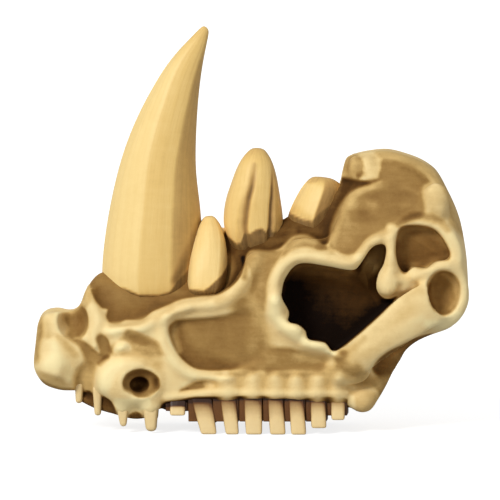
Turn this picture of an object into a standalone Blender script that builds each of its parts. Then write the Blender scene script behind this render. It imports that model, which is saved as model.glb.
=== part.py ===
"""Rhinoceros skull without its lower jaw: one fused cranium, four horns on the
midline, and the upper teeth of both sides, each in its own socket.

Metres, +Z up. The snout points to -X, the skull's left side faces -Y, and the
skull is mirror-symmetric about Y = 0. The origin is on the surface that the worn
cheek teeth stand on, below the middle of the skull.

Places on the skull's side are side-view coordinates: u runs from the snout to
the back of the head and v runs down, in units of SKULL_LENGTH / VIEW_LENGTH.
The side view looks down at the skull by VIEW_TILT. The third number of a place
is its real distance from the midline, in metres.
"""

import math

import bmesh
import bpy
import numpy as np
from mathutils import Vector

SKULL_LENGTH = 0.652
VIEW_LENGTH = 434.7
VIEW_MIDDLE = 250.75
VIEW_BASE = 428.8
VIEW_TILT = math.radians(5)
UNIT = SKULL_LENGTH / VIEW_LENGTH

SEAT_GAP = 0.0004
RING_POINTS = 42
STATION_STEP = 0.008
FORM_VOXEL = 0.0055
CUT_VOXEL = 0.0048
CRANIUM_TRIANGLES = 4500
WORN_LEVEL = 0.0
ROOT_LENGTH = 0.010
SIDES = {"left": -1, "right": 1}

BONE = (0.72, 0.56, 0.33)
HORN = (0.86, 0.66, 0.36)
TOOTH = (0.84, 0.66, 0.38)

# Lines along the cranium, from the midline of its roof down to the midline of
# its palate. Each cross-section passes through all of them.
ROOF = (
    (34, 358, 0), (37.5, 328, 0), (41, 315.5, 0), (49, 312, 0), (62, 313, 0), (78, 309.5, 0),
    (83, 298, 0), (91, 281.5, 0), (100, 273, 0), (118, 268, 0), (150, 268, 0), (180, 264, 0),
    (198, 250, 0), (208, 234, 0), (217, 226, 0), (240, 228, 0), (265, 226, 0), (283, 219, 0),
    (300, 208, 0), (320, 199, 0), (340, 190, 0), (346, 157.5, 0), (365, 152.5, 0), (384, 150.5, 0),
    (412, 157, 0), (434, 168.5, 0), (449, 193, 0), (460, 220, 0), (464.5, 245, 0),
    (466.5, 270, 0), (468, 292, 0),
)
SEAT = (
    (34, 359, 0.010), (39, 320, 0.022), (49, 312.5, 0.030), (78, 310, 0.030), (86, 291, 0.026),
    (100, 281, 0.030), (110, 287, 0.042), (125, 291, 0.050), (150, 294, 0.054), (180, 291, 0.054),
    (204, 291, 0.054), (215, 290, 0.047), (224, 283, 0.041), (232, 262, 0.036), (240, 248, 0.036),
    (262, 239, 0.040), (283, 232, 0.038), (300, 223, 0.036), (311, 221, 0.036), (319, 214, 0.036),
    (330, 205, 0.036), (338, 190, 0.032), (346, 163, 0.022),
    (365, 154, 0.026), (384, 152, 0.030), (412, 159, 0.036), (434, 172, 0.040), (449, 197, 0.042),
    (460, 225, 0.040), (466, 258, 0.032), (468, 291, 0.014),
)
SHOULDER = (
    (34, 360, 0.018), (39, 322, 0.038), (49, 314.5, 0.048), (78, 313, 0.048), (86, 297, 0.040),
    (95, 298, 0.044), (104, 307, 0.050), (118, 320, 0.057), (140, 318, 0.058), (152, 310, 0.059),
    (170, 303, 0.060), (185, 298, 0.061), (203, 297, 0.061), (219, 293, 0.059), (236, 281, 0.057),
    (246, 262, 0.058), (260, 250, 0.058), (276, 249, 0.058), (292, 238, 0.056), (312, 238, 0.054),
    (326, 238, 0.052), (334, 222, 0.048), (346, 190, 0.042), (365, 166, 0.044), (384, 162, 0.050),
    (412, 170, 0.058), (434, 184, 0.064), (449, 207, 0.068), (460, 236, 0.066), (466, 265, 0.054),
    (468, 292, 0.026),
)
UPPER_SIDE = (
    (34, 358, 0.030), (38, 338, 0.050), (50, 331, 0.060), (78, 327, 0.060), (90, 318, 0.060),
    (100, 320, 0.064), (120, 330, 0.071), (141, 326, 0.073), (157, 317, 0.074), (172, 310, 0.074),
    (187, 305, 0.074), (203, 303, 0.074), (219, 299, 0.075), (236, 288, 0.077), (248, 273, 0.080),
    (258, 262, 0.083), (275, 258, 0.086), (292, 250, 0.088), (312, 246, 0.088), (330, 240, 0.085),
    (345, 214, 0.076), (360, 202, 0.070), (384, 196, 0.074), (412, 202, 0.084), (434, 213, 0.091),
    (449, 230, 0.093), (460, 252, 0.088), (466, 273, 0.072), (468, 293, 0.036),
)
SIDE = (
    (34, 364, 0.034), (38, 358, 0.056), (50, 356, 0.065), (78, 354, 0.066), (100, 350, 0.068),
    (125, 358, 0.074), (150, 354, 0.077), (180, 340, 0.078), (220, 333, 0.080), (250, 320, 0.086),
    (270, 302, 0.094), (300, 290, 0.098), (330, 284, 0.100), (360, 272, 0.102), (384, 262, 0.104),
    (412, 262, 0.106), (434, 262, 0.107), (449, 264, 0.104), (460, 274, 0.096), (466, 284, 0.078),
    (468, 296, 0.038),
)
LOWER_SIDE = (
    (34, 368, 0.028), (40, 376, 0.048), (50, 382, 0.056), (66, 387, 0.056), (80, 382, 0.050),
    (95, 380, 0.060), (120, 384, 0.071), (150, 380, 0.077), (190, 378, 0.078), (230, 375, 0.080),
    (270, 370, 0.084), (300, 366, 0.088), (330, 362, 0.086), (345, 372, 0.076), (362, 382, 0.066),
    (380, 368, 0.056), (395, 345, 0.058), (412, 326, 0.078), (434, 318, 0.098), (449, 314, 0.096),
    (458, 308, 0.088), (464, 302, 0.066), (468, 298, 0.032),
)
GUM = (
    (34, 369, 0.014), (45, 382, 0.028), (60, 389.5, 0.034), (74, 390.5, 0.034), (90, 393, 0.040),
    (105, 396, 0.050), (125, 404, 0.062), (150, 407, 0.066), (170, 401, 0.064), (200, 399, 0.068),
    (250, 399, 0.072), (300, 399, 0.074), (345, 404, 0.070), (362, 411, 0.060), (374, 401, 0.056),
    (386, 378, 0.052), (399, 358, 0.052), (414, 342, 0.058), (430, 334, 0.070), (449, 327, 0.072),
    (458, 318, 0.068), (464, 308, 0.050), (468, 299, 0.018),
)
PALATE = (
    (34, 369, 0), (45, 380, 0), (60, 385, 0), (80, 380, 0), (105, 376, 0), (150, 374, 0),
    (200, 370, 0), (250, 368, 0), (300, 368, 0), (340, 370, 0), (365, 370, 0), (385, 358, 0),
    (399, 346, 0), (414, 338, 0), (430, 331, 0), (449, 325, 0), (458, 317, 0), (464, 307, 0),
    (468, 299, 0),
)
CRANIUM_LINES = (ROOF, SEAT, SHOULDER, UPPER_SIDE, SIDE, LOWER_SIDE, GUM, PALATE)
FIRST_STATION, LAST_STATION = 34, 468

# Raised bone: a centre line of places, each with its radius in metres.
RIDGES = {
    "maxillary_ridge": (
        (106, 336, 0.066, 0.008), (120, 331, 0.070, 0.009), (141, 329, 0.072, 0.009),
        (157, 321, 0.072, 0.010), (172, 313, 0.071, 0.010), (187, 308, 0.071, 0.010),
        (203, 306, 0.071, 0.011), (221, 302, 0.071, 0.012), (238, 290, 0.073, 0.014),
        (249, 274, 0.076, 0.015), (257, 263, 0.076, 0.016),
    ),
    "nasal_strut": (
        (89, 288, 0.040, 0.008), (94, 303, 0.050, 0.008), (100, 322, 0.060, 0.008),
        (103, 340, 0.064, 0.009),
    ),
    "fossa_front_rim": (
        (178, 312, 0.072, 0.008), (168, 325, 0.073, 0.008), (167, 340, 0.075, 0.009),
        (174, 356, 0.076, 0.009), (186, 369, 0.077, 0.008), (204, 376, 0.076, 0.007),
        (226, 378, 0.075, 0.006),
    ),
    "orbital_rim": (
        (342, 352, 0.094, 0.010), (322, 347, 0.094, 0.011), (306, 342, 0.094, 0.012),
        (292, 331, 0.094, 0.012), (279, 317, 0.093, 0.012), (272, 303, 0.093, 0.013),
        (272, 289, 0.092, 0.012), (277, 273, 0.091, 0.012), (289, 260, 0.090, 0.011),
        (305, 257, 0.091, 0.010), (325, 259, 0.094, 0.010), (347, 263, 0.098, 0.010),
        (358, 259, 0.101, 0.010), (368, 246, 0.103, 0.010), (380, 239, 0.103, 0.010),
    ),
    "post_orbital_strut": (
        (388, 234, 0.102, 0.008), (390, 250, 0.106, 0.008), (390, 266, 0.109, 0.009),
        (388, 277, 0.111, 0.015), (388, 287, 0.112, 0.014),
    ),
    "upper_hollow_rim": (
        (392, 262, 0.100, 0.007), (391, 244, 0.100, 0.007), (396, 229, 0.096, 0.007),
        (411, 220, 0.093, 0.008), (433, 223, 0.094, 0.008), (449, 237, 0.094, 0.009),
        (456, 254, 0.093, 0.009), (449, 267, 0.098, 0.010), (430, 272, 0.102, 0.010),
        (408, 277, 0.104, 0.010),
    ),
    "lower_hollow_rim": (
        (430, 272, 0.100, 0.010), (447, 266, 0.100, 0.009), (460, 280, 0.090, 0.009),
        (461, 302, 0.086, 0.010), (450, 319, 0.092, 0.010), (434, 322, 0.098, 0.011),
        (424, 306, 0.102, 0.012), (424, 286, 0.102, 0.010),
    ),
    "temple_front": (
        (330, 246, 0.077, 0.009), (338, 224, 0.072, 0.010), (347, 205, 0.065, 0.011),
        (360, 194, 0.058, 0.012),
    ),
    "tooth_ledge": (
        (80, 394, 0.024, 0.010), (98, 402, 0.033, 0.011), (116, 406, 0.043, 0.013),
        (136, 411, 0.050, 0.013), (156, 408, 0.052, 0.012),
    ),
    "pterygoid_wing": (
        (396, 350, 0.052, 0.014), (384, 370, 0.052, 0.014), (373, 388, 0.056, 0.016),
        (362, 399, 0.060, 0.020),
    ),
}

# Rounded bone: a place and the half-sizes along X, Y and Z.
BUMPS = {
    "snout_bulge": ((55, 363, 0.040), (0.0315, 0.034, 0.034)),
    "snout_foot": ((60, 374, 0.036), (0.032, 0.030, 0.022)),
    "cheek_bulge": ((133, 380, 0.064), (0.054, 0.031, 0.039)),
    "arch_root": ((350, 370, 0.084), (0.032, 0.015, 0.022)),
    "small_bump": ((122, 347, 0.070), (0.012, 0.013, 0.008)),
    "orbit_lobe_upper": ((278, 303, 0.094), (0.015, 0.016, 0.021)),
    "orbit_lobe_lower": ((294, 327, 0.095), (0.018, 0.016, 0.016)),
    "orbit_lobe_back": ((318, 343, 0.095), (0.022, 0.015, 0.013)),
    "brow_front": ((258, 264, 0.066), (0.020, 0.020, 0.020)),
    "brow_back": ((305, 252, 0.076), (0.030, 0.018, 0.022)),
    "crest_tubercle_front": ((355, 169, 0.030), (0.011, 0.018, 0.020)),
    "crest_tubercle_back": ((366, 168, 0.038), (0.011, 0.016, 0.018)),
    "temple_highlight": ((434, 202, 0.086), (0.022, 0.016, 0.030)),
    "occipital_condyle": ((454, 298, 0.034), (0.022, 0.021, 0.027)),
    "rear_knob": ((362, 399, 0.062), (0.021, 0.021, 0.021)),
}

# The zygomatic arch is a flat bar: its places, and its half-height and
# half-thickness at each.
ARCH = (
    (328, 372, 0.078, 0.018, 0.014), (344, 364, 0.092, 0.024, 0.014), (358, 356, 0.104, 0.027, 0.012),
    (375, 342, 0.117, 0.030, 0.011), (394, 326, 0.125, 0.033, 0.011), (413, 312, 0.124, 0.035, 0.012),
    (432, 302, 0.112, 0.034, 0.015), (450, 297, 0.088, 0.028, 0.016),
)

# Hollows cut straight in from the side: the outline, and the distances from the
# midline where the cut starts and ends.
ORBIT = (
    (294, 266), (305.5, 263), (326.5, 266), (351, 270), (359, 264), (371, 247), (384, 245),
    (383, 262), (377, 274), (375, 286), (379, 295), (394, 297), (372.4, 321), (336, 350),
    (324.6, 342), (307.4, 338.5), (305.5, 331), (297.8, 324), (287.3, 321), (289, 312),
    (281.6, 298), (281.6, 291), (284.4, 279),
)
UPPER_HOLLOW = (
    (396, 232), (409, 225.5), (433, 230), (447, 250), (446, 259), (433, 262), (425, 268),
    (412, 267), (403, 273), (395, 260),
)
TEMPORAL_PASSAGE = (
    (356, 346), (380, 322), (404, 302), (422, 312), (414, 334), (396, 352), (380, 366),
    (364, 366),
)
SIDE_CUTS = {
    "orbit": (ORBIT, 0.160, 0.040),
    "upper_hollow": (UPPER_HOLLOW, 0.160, 0.078),
    "temporal_passage": (TEMPORAL_PASSAGE, 0.104, 0.062),
}

# Grooves: a centre line of places, each with the radius of the cut.
GROOVES = {
    "horn_trough": (
        (95, 296, 0.052, 0.005), (103, 304, 0.060, 0.008), (118, 314, 0.067, 0.009),
        (138, 312, 0.069, 0.010), (153, 304, 0.070, 0.009), (170, 298, 0.070, 0.008),
        (190, 294, 0.070, 0.007), (208, 291, 0.070, 0.008), (226, 282, 0.068, 0.010),
        (238, 264, 0.070, 0.012), (248, 250, 0.068, 0.009), (268, 245, 0.067, 0.008),
        (290, 232, 0.066, 0.008), (312, 230, 0.065, 0.009), (327, 228, 0.062, 0.010),
        (338, 206, 0.056, 0.008), (350, 188, 0.048, 0.006),
    ),
    "snout_channel": (
        (76, 334, 0.066, 0.013), (86, 347, 0.070, 0.012), (91, 358, 0.071, 0.012),
        (90, 374, 0.066, 0.014), (87, 392, 0.050, 0.014),
    ),
    "facial_slot": ((105, 339, 0.075, 0.010), (104, 346, 0.076, 0.011), (102, 354, 0.076, 0.009)),
    "facial_groove": ((131, 334, 0.078, 0.009), (141, 339, 0.081, 0.010), (154, 342, 0.080, 0.006)),
    "fossa_floor_groove": ((186, 387, 0.082, 0.007), (198, 385, 0.083, 0.009), (213, 382, 0.083, 0.007)),
}

# Round hollows: a place and the half-sizes of the cut along X, Y and Z.
PITS = {
    "nose_opening": ((73, 318, 0.074), (0.025, 0.052, 0.034)),
    "fossa_front": ((203, 343, 0.093), (0.048, 0.031, 0.037)),
    "fossa_back": ((234, 340, 0.103), (0.050, 0.030, 0.036)),
    "cheek_hole": ((142.5, 382.5, 0.096), (0.029, 0.030, 0.0225)),
    "cheek_hole_core": ((140, 384, 0.068), (0.015, 0.026, 0.012)),
    "lower_hollow": ((442.3, 292.6, 0.106), (0.0245, 0.028, 0.033)),
}

MIDLINE_PITS = {
    "foramen_magnum": ((470, 276, 0), (0.050, 0.024, 0.020)),
    "occipital_hollow": ((482, 232, 0), (0.034, 0.062, 0.056)),
    "choanae": ((374, 396, 0), (0.052, 0.029, 0.042)),
}

# Horns: pairs of side-view points on the front and the back edge, each pair
# with the half-width of the horn across the skull, then the tip.
NASAL_HORN = (
    ((108, 302), (198, 302), 0.054), ((103, 280), (200.5, 278), 0.059),
    ((102.7, 269), (201.5, 264), 0.060), ((104.7, 243), (201.5, 234), 0.059),
    ((111.6, 200), (199.5, 204), 0.054), ((123.5, 152), (194.7, 172), 0.044),
    ((139, 115), (195.2, 140), 0.036), ((152, 91), (196.5, 114), 0.029),
    ((165, 69), (198.6, 89), 0.023), ((178.5, 52), (201.5, 68), 0.016),
    ((190.7, 39.7), (204.5, 52), 0.010), ((200.5, 29.5), (207.8, 37), 0.005),
)
NASAL_HORN_TIP = (207.8, 25.5)
SECOND_HORN = (
    ((187.5, 300), (222, 296), 0.058), ((187, 284), (226, 278), 0.060), ((188, 268), (227, 262), 0.056),
    ((191.5, 252), (225.5, 247), 0.048), ((196, 237), (222, 233), 0.037),
    ((200.5, 225), (217.5, 223), 0.024), ((204.5, 218), (213.5, 217), 0.012),
)
SECOND_HORN_TIP = (209, 215.4)
FRONTAL_HORN = (
    ((236, 258), (278, 254), 0.034), ((229, 240), (281.5, 236), 0.041), ((223, 224), (283, 221), 0.042),
    ((226, 199), (280, 201), 0.040), ((231.5, 185), (278, 188), 0.036), ((236, 171), (275.5, 174), 0.030),
    ((242, 159), (271.5, 161), 0.022), ((249, 151), (266, 152), 0.013),
)
FRONTAL_HORN_TIP = (258, 146.8)
FRONTAL_GROOVES = (math.radians(97), math.radians(54))
FRONTAL_GROOVE_WIDTH = math.radians(9)
FRONTAL_GROOVE_DEPTH = 0.20
THIRD_HORN = (
    ((290, 236), (336, 232), 0.034), ((286, 220), (340, 214), 0.038), ((295, 200), (342.5, 198), 0.034),
    ((303, 186), (343, 187.5), 0.026), ((310, 179), (337, 181.5), 0.016),
)
THIRD_HORN_TIP = (319, 175.4)

# Teeth: u of the two edges at the gum, u of the two edges at the worn end, v of
# the gum and of the worn end (None stands the tooth on the surface below),
# distance from the midline.
FRONT_TEETH = (
    ((75.5, 83.5), (76.5, 82), 388, 403, 0.034),
    ((93.5, 102.5), (95.5, 101), 392, 415, 0.046),
    ((115.5, 130), (120.5, 127), 402, 425.5, 0.063),
    ((143, 159), (146, 157), 405, 430.5, 0.069),
)
CHEEK_TEETH = (
    ((170, 186), (171, 185), 400, 414.6, 0.072),
    ((190, 207), (202, 216), 399, None, 0.075),
    ((219, 235.5), (226.5, 238.5), 397, None, 0.077),
    ((243.5, 262), (246, 260), 396, None, 0.078),
    ((267, 282), (270.5, 285), 396, None, 0.079),
    ((288, 302.5), (291.5, 305.5), 397, None, 0.080),
    ((309.5, 324.5), (311.5, 325.5), 398, 427, 0.079),
    ((330, 345), (331.5, 343.5), 398, 419, 0.077),
)
FRONT_TOOTH_HALF_DEPTH = 0.008
PILLAR_HALF_DEPTH = 0.009
CROWN_INSET = 0.020
CROWN_HALF_DEPTH = 0.019
CROWN_END = 421
CROWN_GAP = 0.0012
CROWN_RISE = 4
TOOTH_BEVEL = 0.0032
TOOTH_TAPER = 0.0015
CROWN_TAPER = 0.002
ROOT_SWELL_RISE = 11
ROOT_SWELL_INSET = 0.006
ROOT_SWELL_SIZE = (0.0135, 0.013, 0.017)
HORN_TIP_SHARE = 0.25


def place(u, v, y=0.0, side=-1):
    """The point that the side view shows at (u, v), at this distance from the midline."""
    z = ((VIEW_BASE - v) * UNIT + y * math.sin(VIEW_TILT)) / math.cos(VIEW_TILT)
    return Vector(((u - VIEW_MIDDLE) * UNIT, side * y, z))


def clear_scene():
    for obj in list(bpy.data.objects):
        bpy.data.objects.remove(obj, do_unlink=True)


def new_collection(name):
    collection = bpy.data.collections.new(name)
    bpy.context.scene.collection.children.link(collection)
    return collection


def material(name, colour, roughness):
    made = bpy.data.materials.new(name)
    made.use_nodes = True
    shader = made.node_tree.nodes["Principled BSDF"]
    shader.inputs["Base Color"].default_value = (*colour, 1)
    shader.inputs["Roughness"].default_value = roughness
    shader.inputs["Metallic"].default_value = 0.0
    return made


def object_of(name, shape, collection):
    """A new object from a bmesh, its faces pointing out."""
    bmesh.ops.recalc_face_normals(shape, faces=shape.faces)
    mesh = bpy.data.meshes.new(name)
    shape.to_mesh(mesh)
    shape.free()
    obj = bpy.data.objects.new(name, mesh)
    collection.objects.link(obj)
    return obj


def loft(shape, rings):
    """Skins rings of equally many points and closes both ends, in an open bmesh."""
    made = [[shape.verts.new(point) for point in ring] for ring in rings]
    count = len(made[0])
    for near, far in zip(made, made[1:]):
        for i in range(count):
            shape.faces.new((near[i], near[(i + 1) % count], far[(i + 1) % count], far[i]))
    shape.faces.new(reversed(made[0]))
    shape.faces.new(made[-1])


def steady_slopes(xs, ys):
    """Slopes of a smooth curve through the points that never overshoots them."""
    steps = np.diff(ys) / np.diff(xs)
    slopes = np.concatenate(([steps[0]], np.zeros(len(xs) - 2), [steps[-1]]))
    for i in range(1, len(xs) - 1):
        if steps[i - 1] * steps[i] > 0:
            slopes[i] = 2 * steps[i - 1] * steps[i] / (steps[i - 1] + steps[i])
    return slopes


def along(line, u):
    """(v, distance from the midline) of a cranium line at u."""
    us = np.array([point[0] for point in line], float)
    i = int(np.clip(np.searchsorted(us, u) - 1, 0, len(us) - 2))
    width = us[i + 1] - us[i]
    t = min(max((u - us[i]) / width, 0), 1)
    found = []
    for axis in (1, 2):
        values = np.array([point[axis] for point in line], float)
        slopes = steady_slopes(us, values)
        found.append(
            (2 * t**3 - 3 * t**2 + 1) * values[i]
            + (t**3 - 2 * t**2 + t) * width * slopes[i]
            + (3 * t**2 - 2 * t**3) * values[i + 1]
            + (t**3 - t**2) * width * slopes[i + 1]
        )
    return found


def smooth_path(points, steps, closed=False):
    """Catmull-Rom points through the given ones, each a sequence of numbers."""
    given = [np.array(point, float) for point in points]
    count = len(given)
    path = []
    for i in range(count if closed else count - 1):
        if closed:
            a, b, c, d = (given[(i + k) % count] for k in (-1, 0, 1, 2))
        else:
            a, b, c, d = (given[min(max(i + k, 0), count - 1)] for k in (-1, 0, 1, 2))
        for step in range(steps):
            t = step / steps
            path.append(
                0.5 * (2 * b + (c - a) * t + (2 * a - 5 * b + 4 * c - d) * t**2
                       + (3 * b - a - 3 * c + d) * t**3)
            )
    if not closed:
        path.append(given[-1])
    return path


def body_shape(shape):
    """The main body of the cranium, lofted through its lines."""
    first, last = place(FIRST_STATION, 0).x, place(LAST_STATION, 0).x
    count = round((last - first) / STATION_STEP)
    rings = []
    for u in np.linspace(FIRST_STATION, LAST_STATION, count + 1):
        half = [(distance, v) for v, distance in (along(line, u) for line in CRANIUM_LINES)]
        outline = [place(u, v, distance, -1) for distance, v in half]
        outline += [place(u, v, distance, 1) for distance, v in reversed(half[1:-1])]
        steps = RING_POINTS // len(outline)
        rings.append(smooth_path(outline, steps, closed=True))
    loft(shape, rings)


def ridge_shape(shape, centres, sides=10):
    """A round bar along (point, radius) centres, tapering to its ends."""
    path = smooth_path([(*point, radius) for point, radius in centres], 3)
    points = [Vector(item[:3]) for item in path]
    rings = []
    for i, point in enumerate(points):
        direction = (points[min(i + 1, len(points) - 1)] - points[max(i - 1, 0)]).normalized()
        across = direction.cross(Vector((0, 1, 0))).normalized()
        up = across.cross(direction)
        radius = float(path[i][3])
        turn = [2 * math.pi * k / sides for k in range(sides)]
        rings.append([point + radius * (math.cos(a) * across + math.sin(a) * up) for a in turn])
    loft(shape, rings)


def ball_shape(shape, centre, half_sizes, segments=20, rings=12):
    made = bmesh.ops.create_uvsphere(shape, u_segments=segments, v_segments=rings, radius=1)
    bmesh.ops.scale(shape, vec=half_sizes, verts=made["verts"])
    bmesh.ops.translate(shape, vec=centre, verts=made["verts"])


def arch_shape(shape, side, sides=16):
    """The zygomatic arch: a flat bar whose height stands across its path in the side view."""
    path = smooth_path([(*place(*item[:3], side), *item[3:]) for item in ARCH], 4)
    points = [Vector(item[:3]) for item in path]
    rings = []
    for i, point in enumerate(points):
        direction = (points[min(i + 1, len(points) - 1)] - points[max(i - 1, 0)]).normalized()
        height = Vector((0, 1, 0)).cross(direction).normalized()
        thickness = direction.cross(height)
        tall, thick = float(path[i][3]), float(path[i][4])
        turn = [2 * math.pi * k / sides for k in range(sides)]
        rings.append(
            [point + tall * math.cos(a) * height + thick * math.sin(a) * thickness for a in turn]
        )
    loft(shape, rings)


def side_cut_shape(shape, outline, start, end, side):
    """A cut through the side, along the line of sight of the side view."""
    rounded = smooth_path(outline, 3, closed=True)
    loft(shape, [[place(u, v, distance, side) for u, v in rounded] for distance in (start, end)])


def cranium_forms(collection):
    shape = bmesh.new()
    body_shape(shape)
    for side in SIDES.values():
        for centres in RIDGES.values():
            ridge_shape(shape, [(place(*item[:3], side), item[3]) for item in centres])
        for centre, half_sizes in BUMPS.values():
            ball_shape(shape, place(*centre, side), half_sizes)
        arch_shape(shape, side)
        for gum, _, top, _, distance in CHEEK_TEETH:
            swell = place(sum(gum) / 2, top - ROOT_SWELL_RISE, distance - ROOT_SWELL_INSET, side)
            ball_shape(shape, swell, ROOT_SWELL_SIZE, 12, 8)
    return object_of("cranium_forms", shape, collection)


def cranium_cuts(collection):
    """One cutter for each hollow, so that each is a closed shape of its own."""
    cutters = []
    for side_name, side in SIDES.items():
        for name, (outline, start, end) in SIDE_CUTS.items():
            shape = bmesh.new()
            side_cut_shape(shape, outline, start, end, side)
            cutters.append(object_of(f"cut_{name}_{side_name}", shape, collection))
        for name, centres in GROOVES.items():
            shape = bmesh.new()
            ridge_shape(shape, [(place(*item[:3], side), item[3]) for item in centres])
            cutters.append(object_of(f"cut_{name}_{side_name}", shape, collection))
        for name, (centre, half_sizes) in PITS.items():
            shape = bmesh.new()
            ball_shape(shape, place(*centre, side), half_sizes, 24, 16)
            cutters.append(object_of(f"cut_{name}_{side_name}", shape, collection))
    for name, (centre, half_sizes) in MIDLINE_PITS.items():
        shape = bmesh.new()
        ball_shape(shape, place(*centre), half_sizes, 24, 16)
        cutters.append(object_of(f"cut_{name}", shape, collection))
    return cutters


def apply_modifiers(obj):
    """Fixes the evaluated mesh as the object's own."""
    graph = bpy.context.evaluated_depsgraph_get()
    mesh = bpy.data.meshes.new_from_object(obj.evaluated_get(graph))
    obj.modifiers.clear()
    old = obj.data
    obj.data = mesh
    bpy.data.meshes.remove(old)


def remesh(obj, voxel, smoothing):
    voxels = obj.modifiers.new("Voxels", "REMESH")
    voxels.mode = "VOXEL"
    voxels.voxel_size = voxel
    soften = obj.modifiers.new("Soften", "SMOOTH")
    soften.factor = 0.5
    soften.iterations = smoothing
    apply_modifiers(obj)


def cut(obj, cutters):
    for cutter in cutters:
        modifier = obj.modifiers.new(cutter.name, "BOOLEAN")
        modifier.operation = "DIFFERENCE"
        modifier.solver = "EXACT"
        modifier.object = cutter
    apply_modifiers(obj)


def hide_helpers(helpers):
    for helper in helpers:
        helper.hide_render = True
        helper.display_type = "WIRE"


def edge_rings(pairs, tip, grow, sides, squareness, groove):
    """Rings of a horn between its front and back edges, and its tip as a small last ring."""
    rings = []
    for level, (front, back, half_width) in enumerate(pairs):
        near, far = place(*front), place(*back)
        centre, half = (near + far) / 2, (far - near) / 2
        half *= 1 + 2 * grow / half.length
        across = Vector((0, -(half_width + 2 * grow), 0))
        if level == 0:
            centre.z -= grow
        ring = []
        for k in range(sides):
            turn = 2 * math.pi * k / sides
            depth = groove(turn, level) if groove else 0
            wide, deep = (
                math.copysign(abs(f(turn)) ** squareness, f(turn)) for f in (math.cos, math.sin)
            )
            ring.append(centre + (1 - depth) * (wide * half + deep * across))
        rings.append(ring)
    end = place(*tip)
    lift = Vector((0, 0, grow))
    rings.append([end + lift + (point - centre) * HORN_TIP_SHARE for point in rings[-1]])
    return rings


def frontal_groove(turn, level):
    """How much the frontal horn is pinched in at its grooves, on both sides."""
    fade = (1, 1, 1, 1, 0.8, 0.5, 0.2, 0)[level]
    folded = turn if turn <= math.pi else 2 * math.pi - turn
    pinch = sum(math.exp(-(((folded - at) / FRONTAL_GROOVE_WIDTH) ** 2)) for at in FRONTAL_GROOVES)
    return FRONTAL_GROOVE_DEPTH * fade * pinch


HORNS = {
    "nasal_horn": (NASAL_HORN, NASAL_HORN_TIP, 18, 1.0, None),
    "second_horn": (SECOND_HORN, SECOND_HORN_TIP, 16, 0.7, None),
    "frontal_horn": (FRONTAL_HORN, FRONTAL_HORN_TIP, 28, 0.9, frontal_groove),
    "third_horn": (THIRD_HORN, THIRD_HORN_TIP, 16, 0.9, None),
}


def horn(name, label, grow, collection):
    pairs, tip, sides, squareness, groove = HORNS[name]
    shape = bmesh.new()
    loft(shape, edge_rings(pairs, tip, grow, sides, squareness, groove))
    return object_of(label, shape, collection)


def rounded_block(shape, lower, upper, bevel, flat_end):
    """A tapering block between two rectangles, its upright edges rounded."""
    corners = ((0, 0), (1, 0), (1, 1), (0, 1))
    made = []
    for x0, x1, y0, y1, z in (lower, upper):
        made.append([shape.verts.new(((x0, x1)[i], (y0, y1)[j], z)) for i, j in corners])
    bottom, top = made
    sides = [
        shape.faces.new((bottom[i], bottom[(i + 1) % 4], top[(i + 1) % 4], top[i])) for i in range(4)
    ]
    shape.faces.new(reversed(bottom))
    shape.faces.new(top)
    if not bevel:
        return
    uprights = {edge for face in sides for edge in face.edges}
    uprights -= {edge for edge in uprights if all(v in top for v in edge.verts)}
    if flat_end:
        uprights -= {edge for edge in uprights if all(v in bottom for v in edge.verts)}
    bmesh.ops.bevel(
        shape, geom=list(uprights), offset=bevel, segments=1 if flat_end else 2,
        affect="EDGES", profile=0.5, clamp_overlap=True,
    )


def tooth_pillar(label, tooth, half_depth, side, grow, collection):
    gum, worn, top, bottom, distance = tooth
    root = place(0, top, distance).z + ROOT_LENGTH + grow
    end = WORN_LEVEL if bottom is None else place(0, bottom, distance).z
    y0, y1 = sorted((side * (distance - half_depth - grow), side * (distance + half_depth + grow)))
    worn_x = [place(u, 0).x for u in worn]
    gum_x = [place(u, 0).x for u in gum]
    shape = bmesh.new()
    rounded_block(
        shape,
        (worn_x[0] - grow, worn_x[1] + grow, y0 + TOOTH_TAPER, y1 - TOOTH_TAPER, end - grow),
        (gum_x[0] - grow, gum_x[1] + grow, y0, y1, root),
        0 if grow else TOOTH_BEVEL, bottom is None,
    )
    return object_of(label, shape, collection)


def tooth_crown(label, index, side, grow, collection):
    """The broad inner part of a cheek tooth, set back from its outer pillar."""
    gum, worn, top, bottom, distance = CHEEK_TEETH[index]
    middles = [sum(tooth[0]) / 2 for tooth in CHEEK_TEETH]
    before = middles[index - 1] if index else 2 * middles[0] - middles[1]
    after = middles[index + 1] if index + 1 < len(middles) else 2 * middles[-1] - middles[-2]
    x0 = place((before + middles[index]) / 2, 0).x + CROWN_GAP - grow
    x1 = place((after + middles[index]) / 2, 0).x - CROWN_GAP + grow
    middle = distance - CROWN_INSET
    y0, y1 = sorted(
        (side * (middle - CROWN_HALF_DEPTH - grow), side * (middle + CROWN_HALF_DEPTH + grow))
    )
    root = place(0, top, distance).z + ROOT_LENGTH + grow
    level = CROWN_END if bottom is None else min(bottom - CROWN_RISE, CROWN_END)
    end = place(0, level, distance).z
    shape = bmesh.new()
    rounded_block(
        shape,
        (x0 + CROWN_TAPER, x1 - CROWN_TAPER, y0 + CROWN_TAPER, y1 - CROWN_TAPER, end - grow),
        (x0, x1, y0, y1, root),
        0 if grow else TOOTH_BEVEL, True,
    )
    return object_of(label, shape, collection)


def join_into(obj, other):
    """Boolean union of the two, in the first."""
    modifier = obj.modifiers.new("Join", "BOOLEAN")
    modifier.operation = "UNION"
    modifier.solver = "EXACT"
    modifier.object = other
    apply_modifiers(obj)
    bpy.data.objects.remove(other, do_unlink=True)


def front_tooth(index, side, label, grow, collection):
    return tooth_pillar(label, FRONT_TEETH[index], FRONT_TOOTH_HALF_DEPTH, side, grow, collection)


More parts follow.
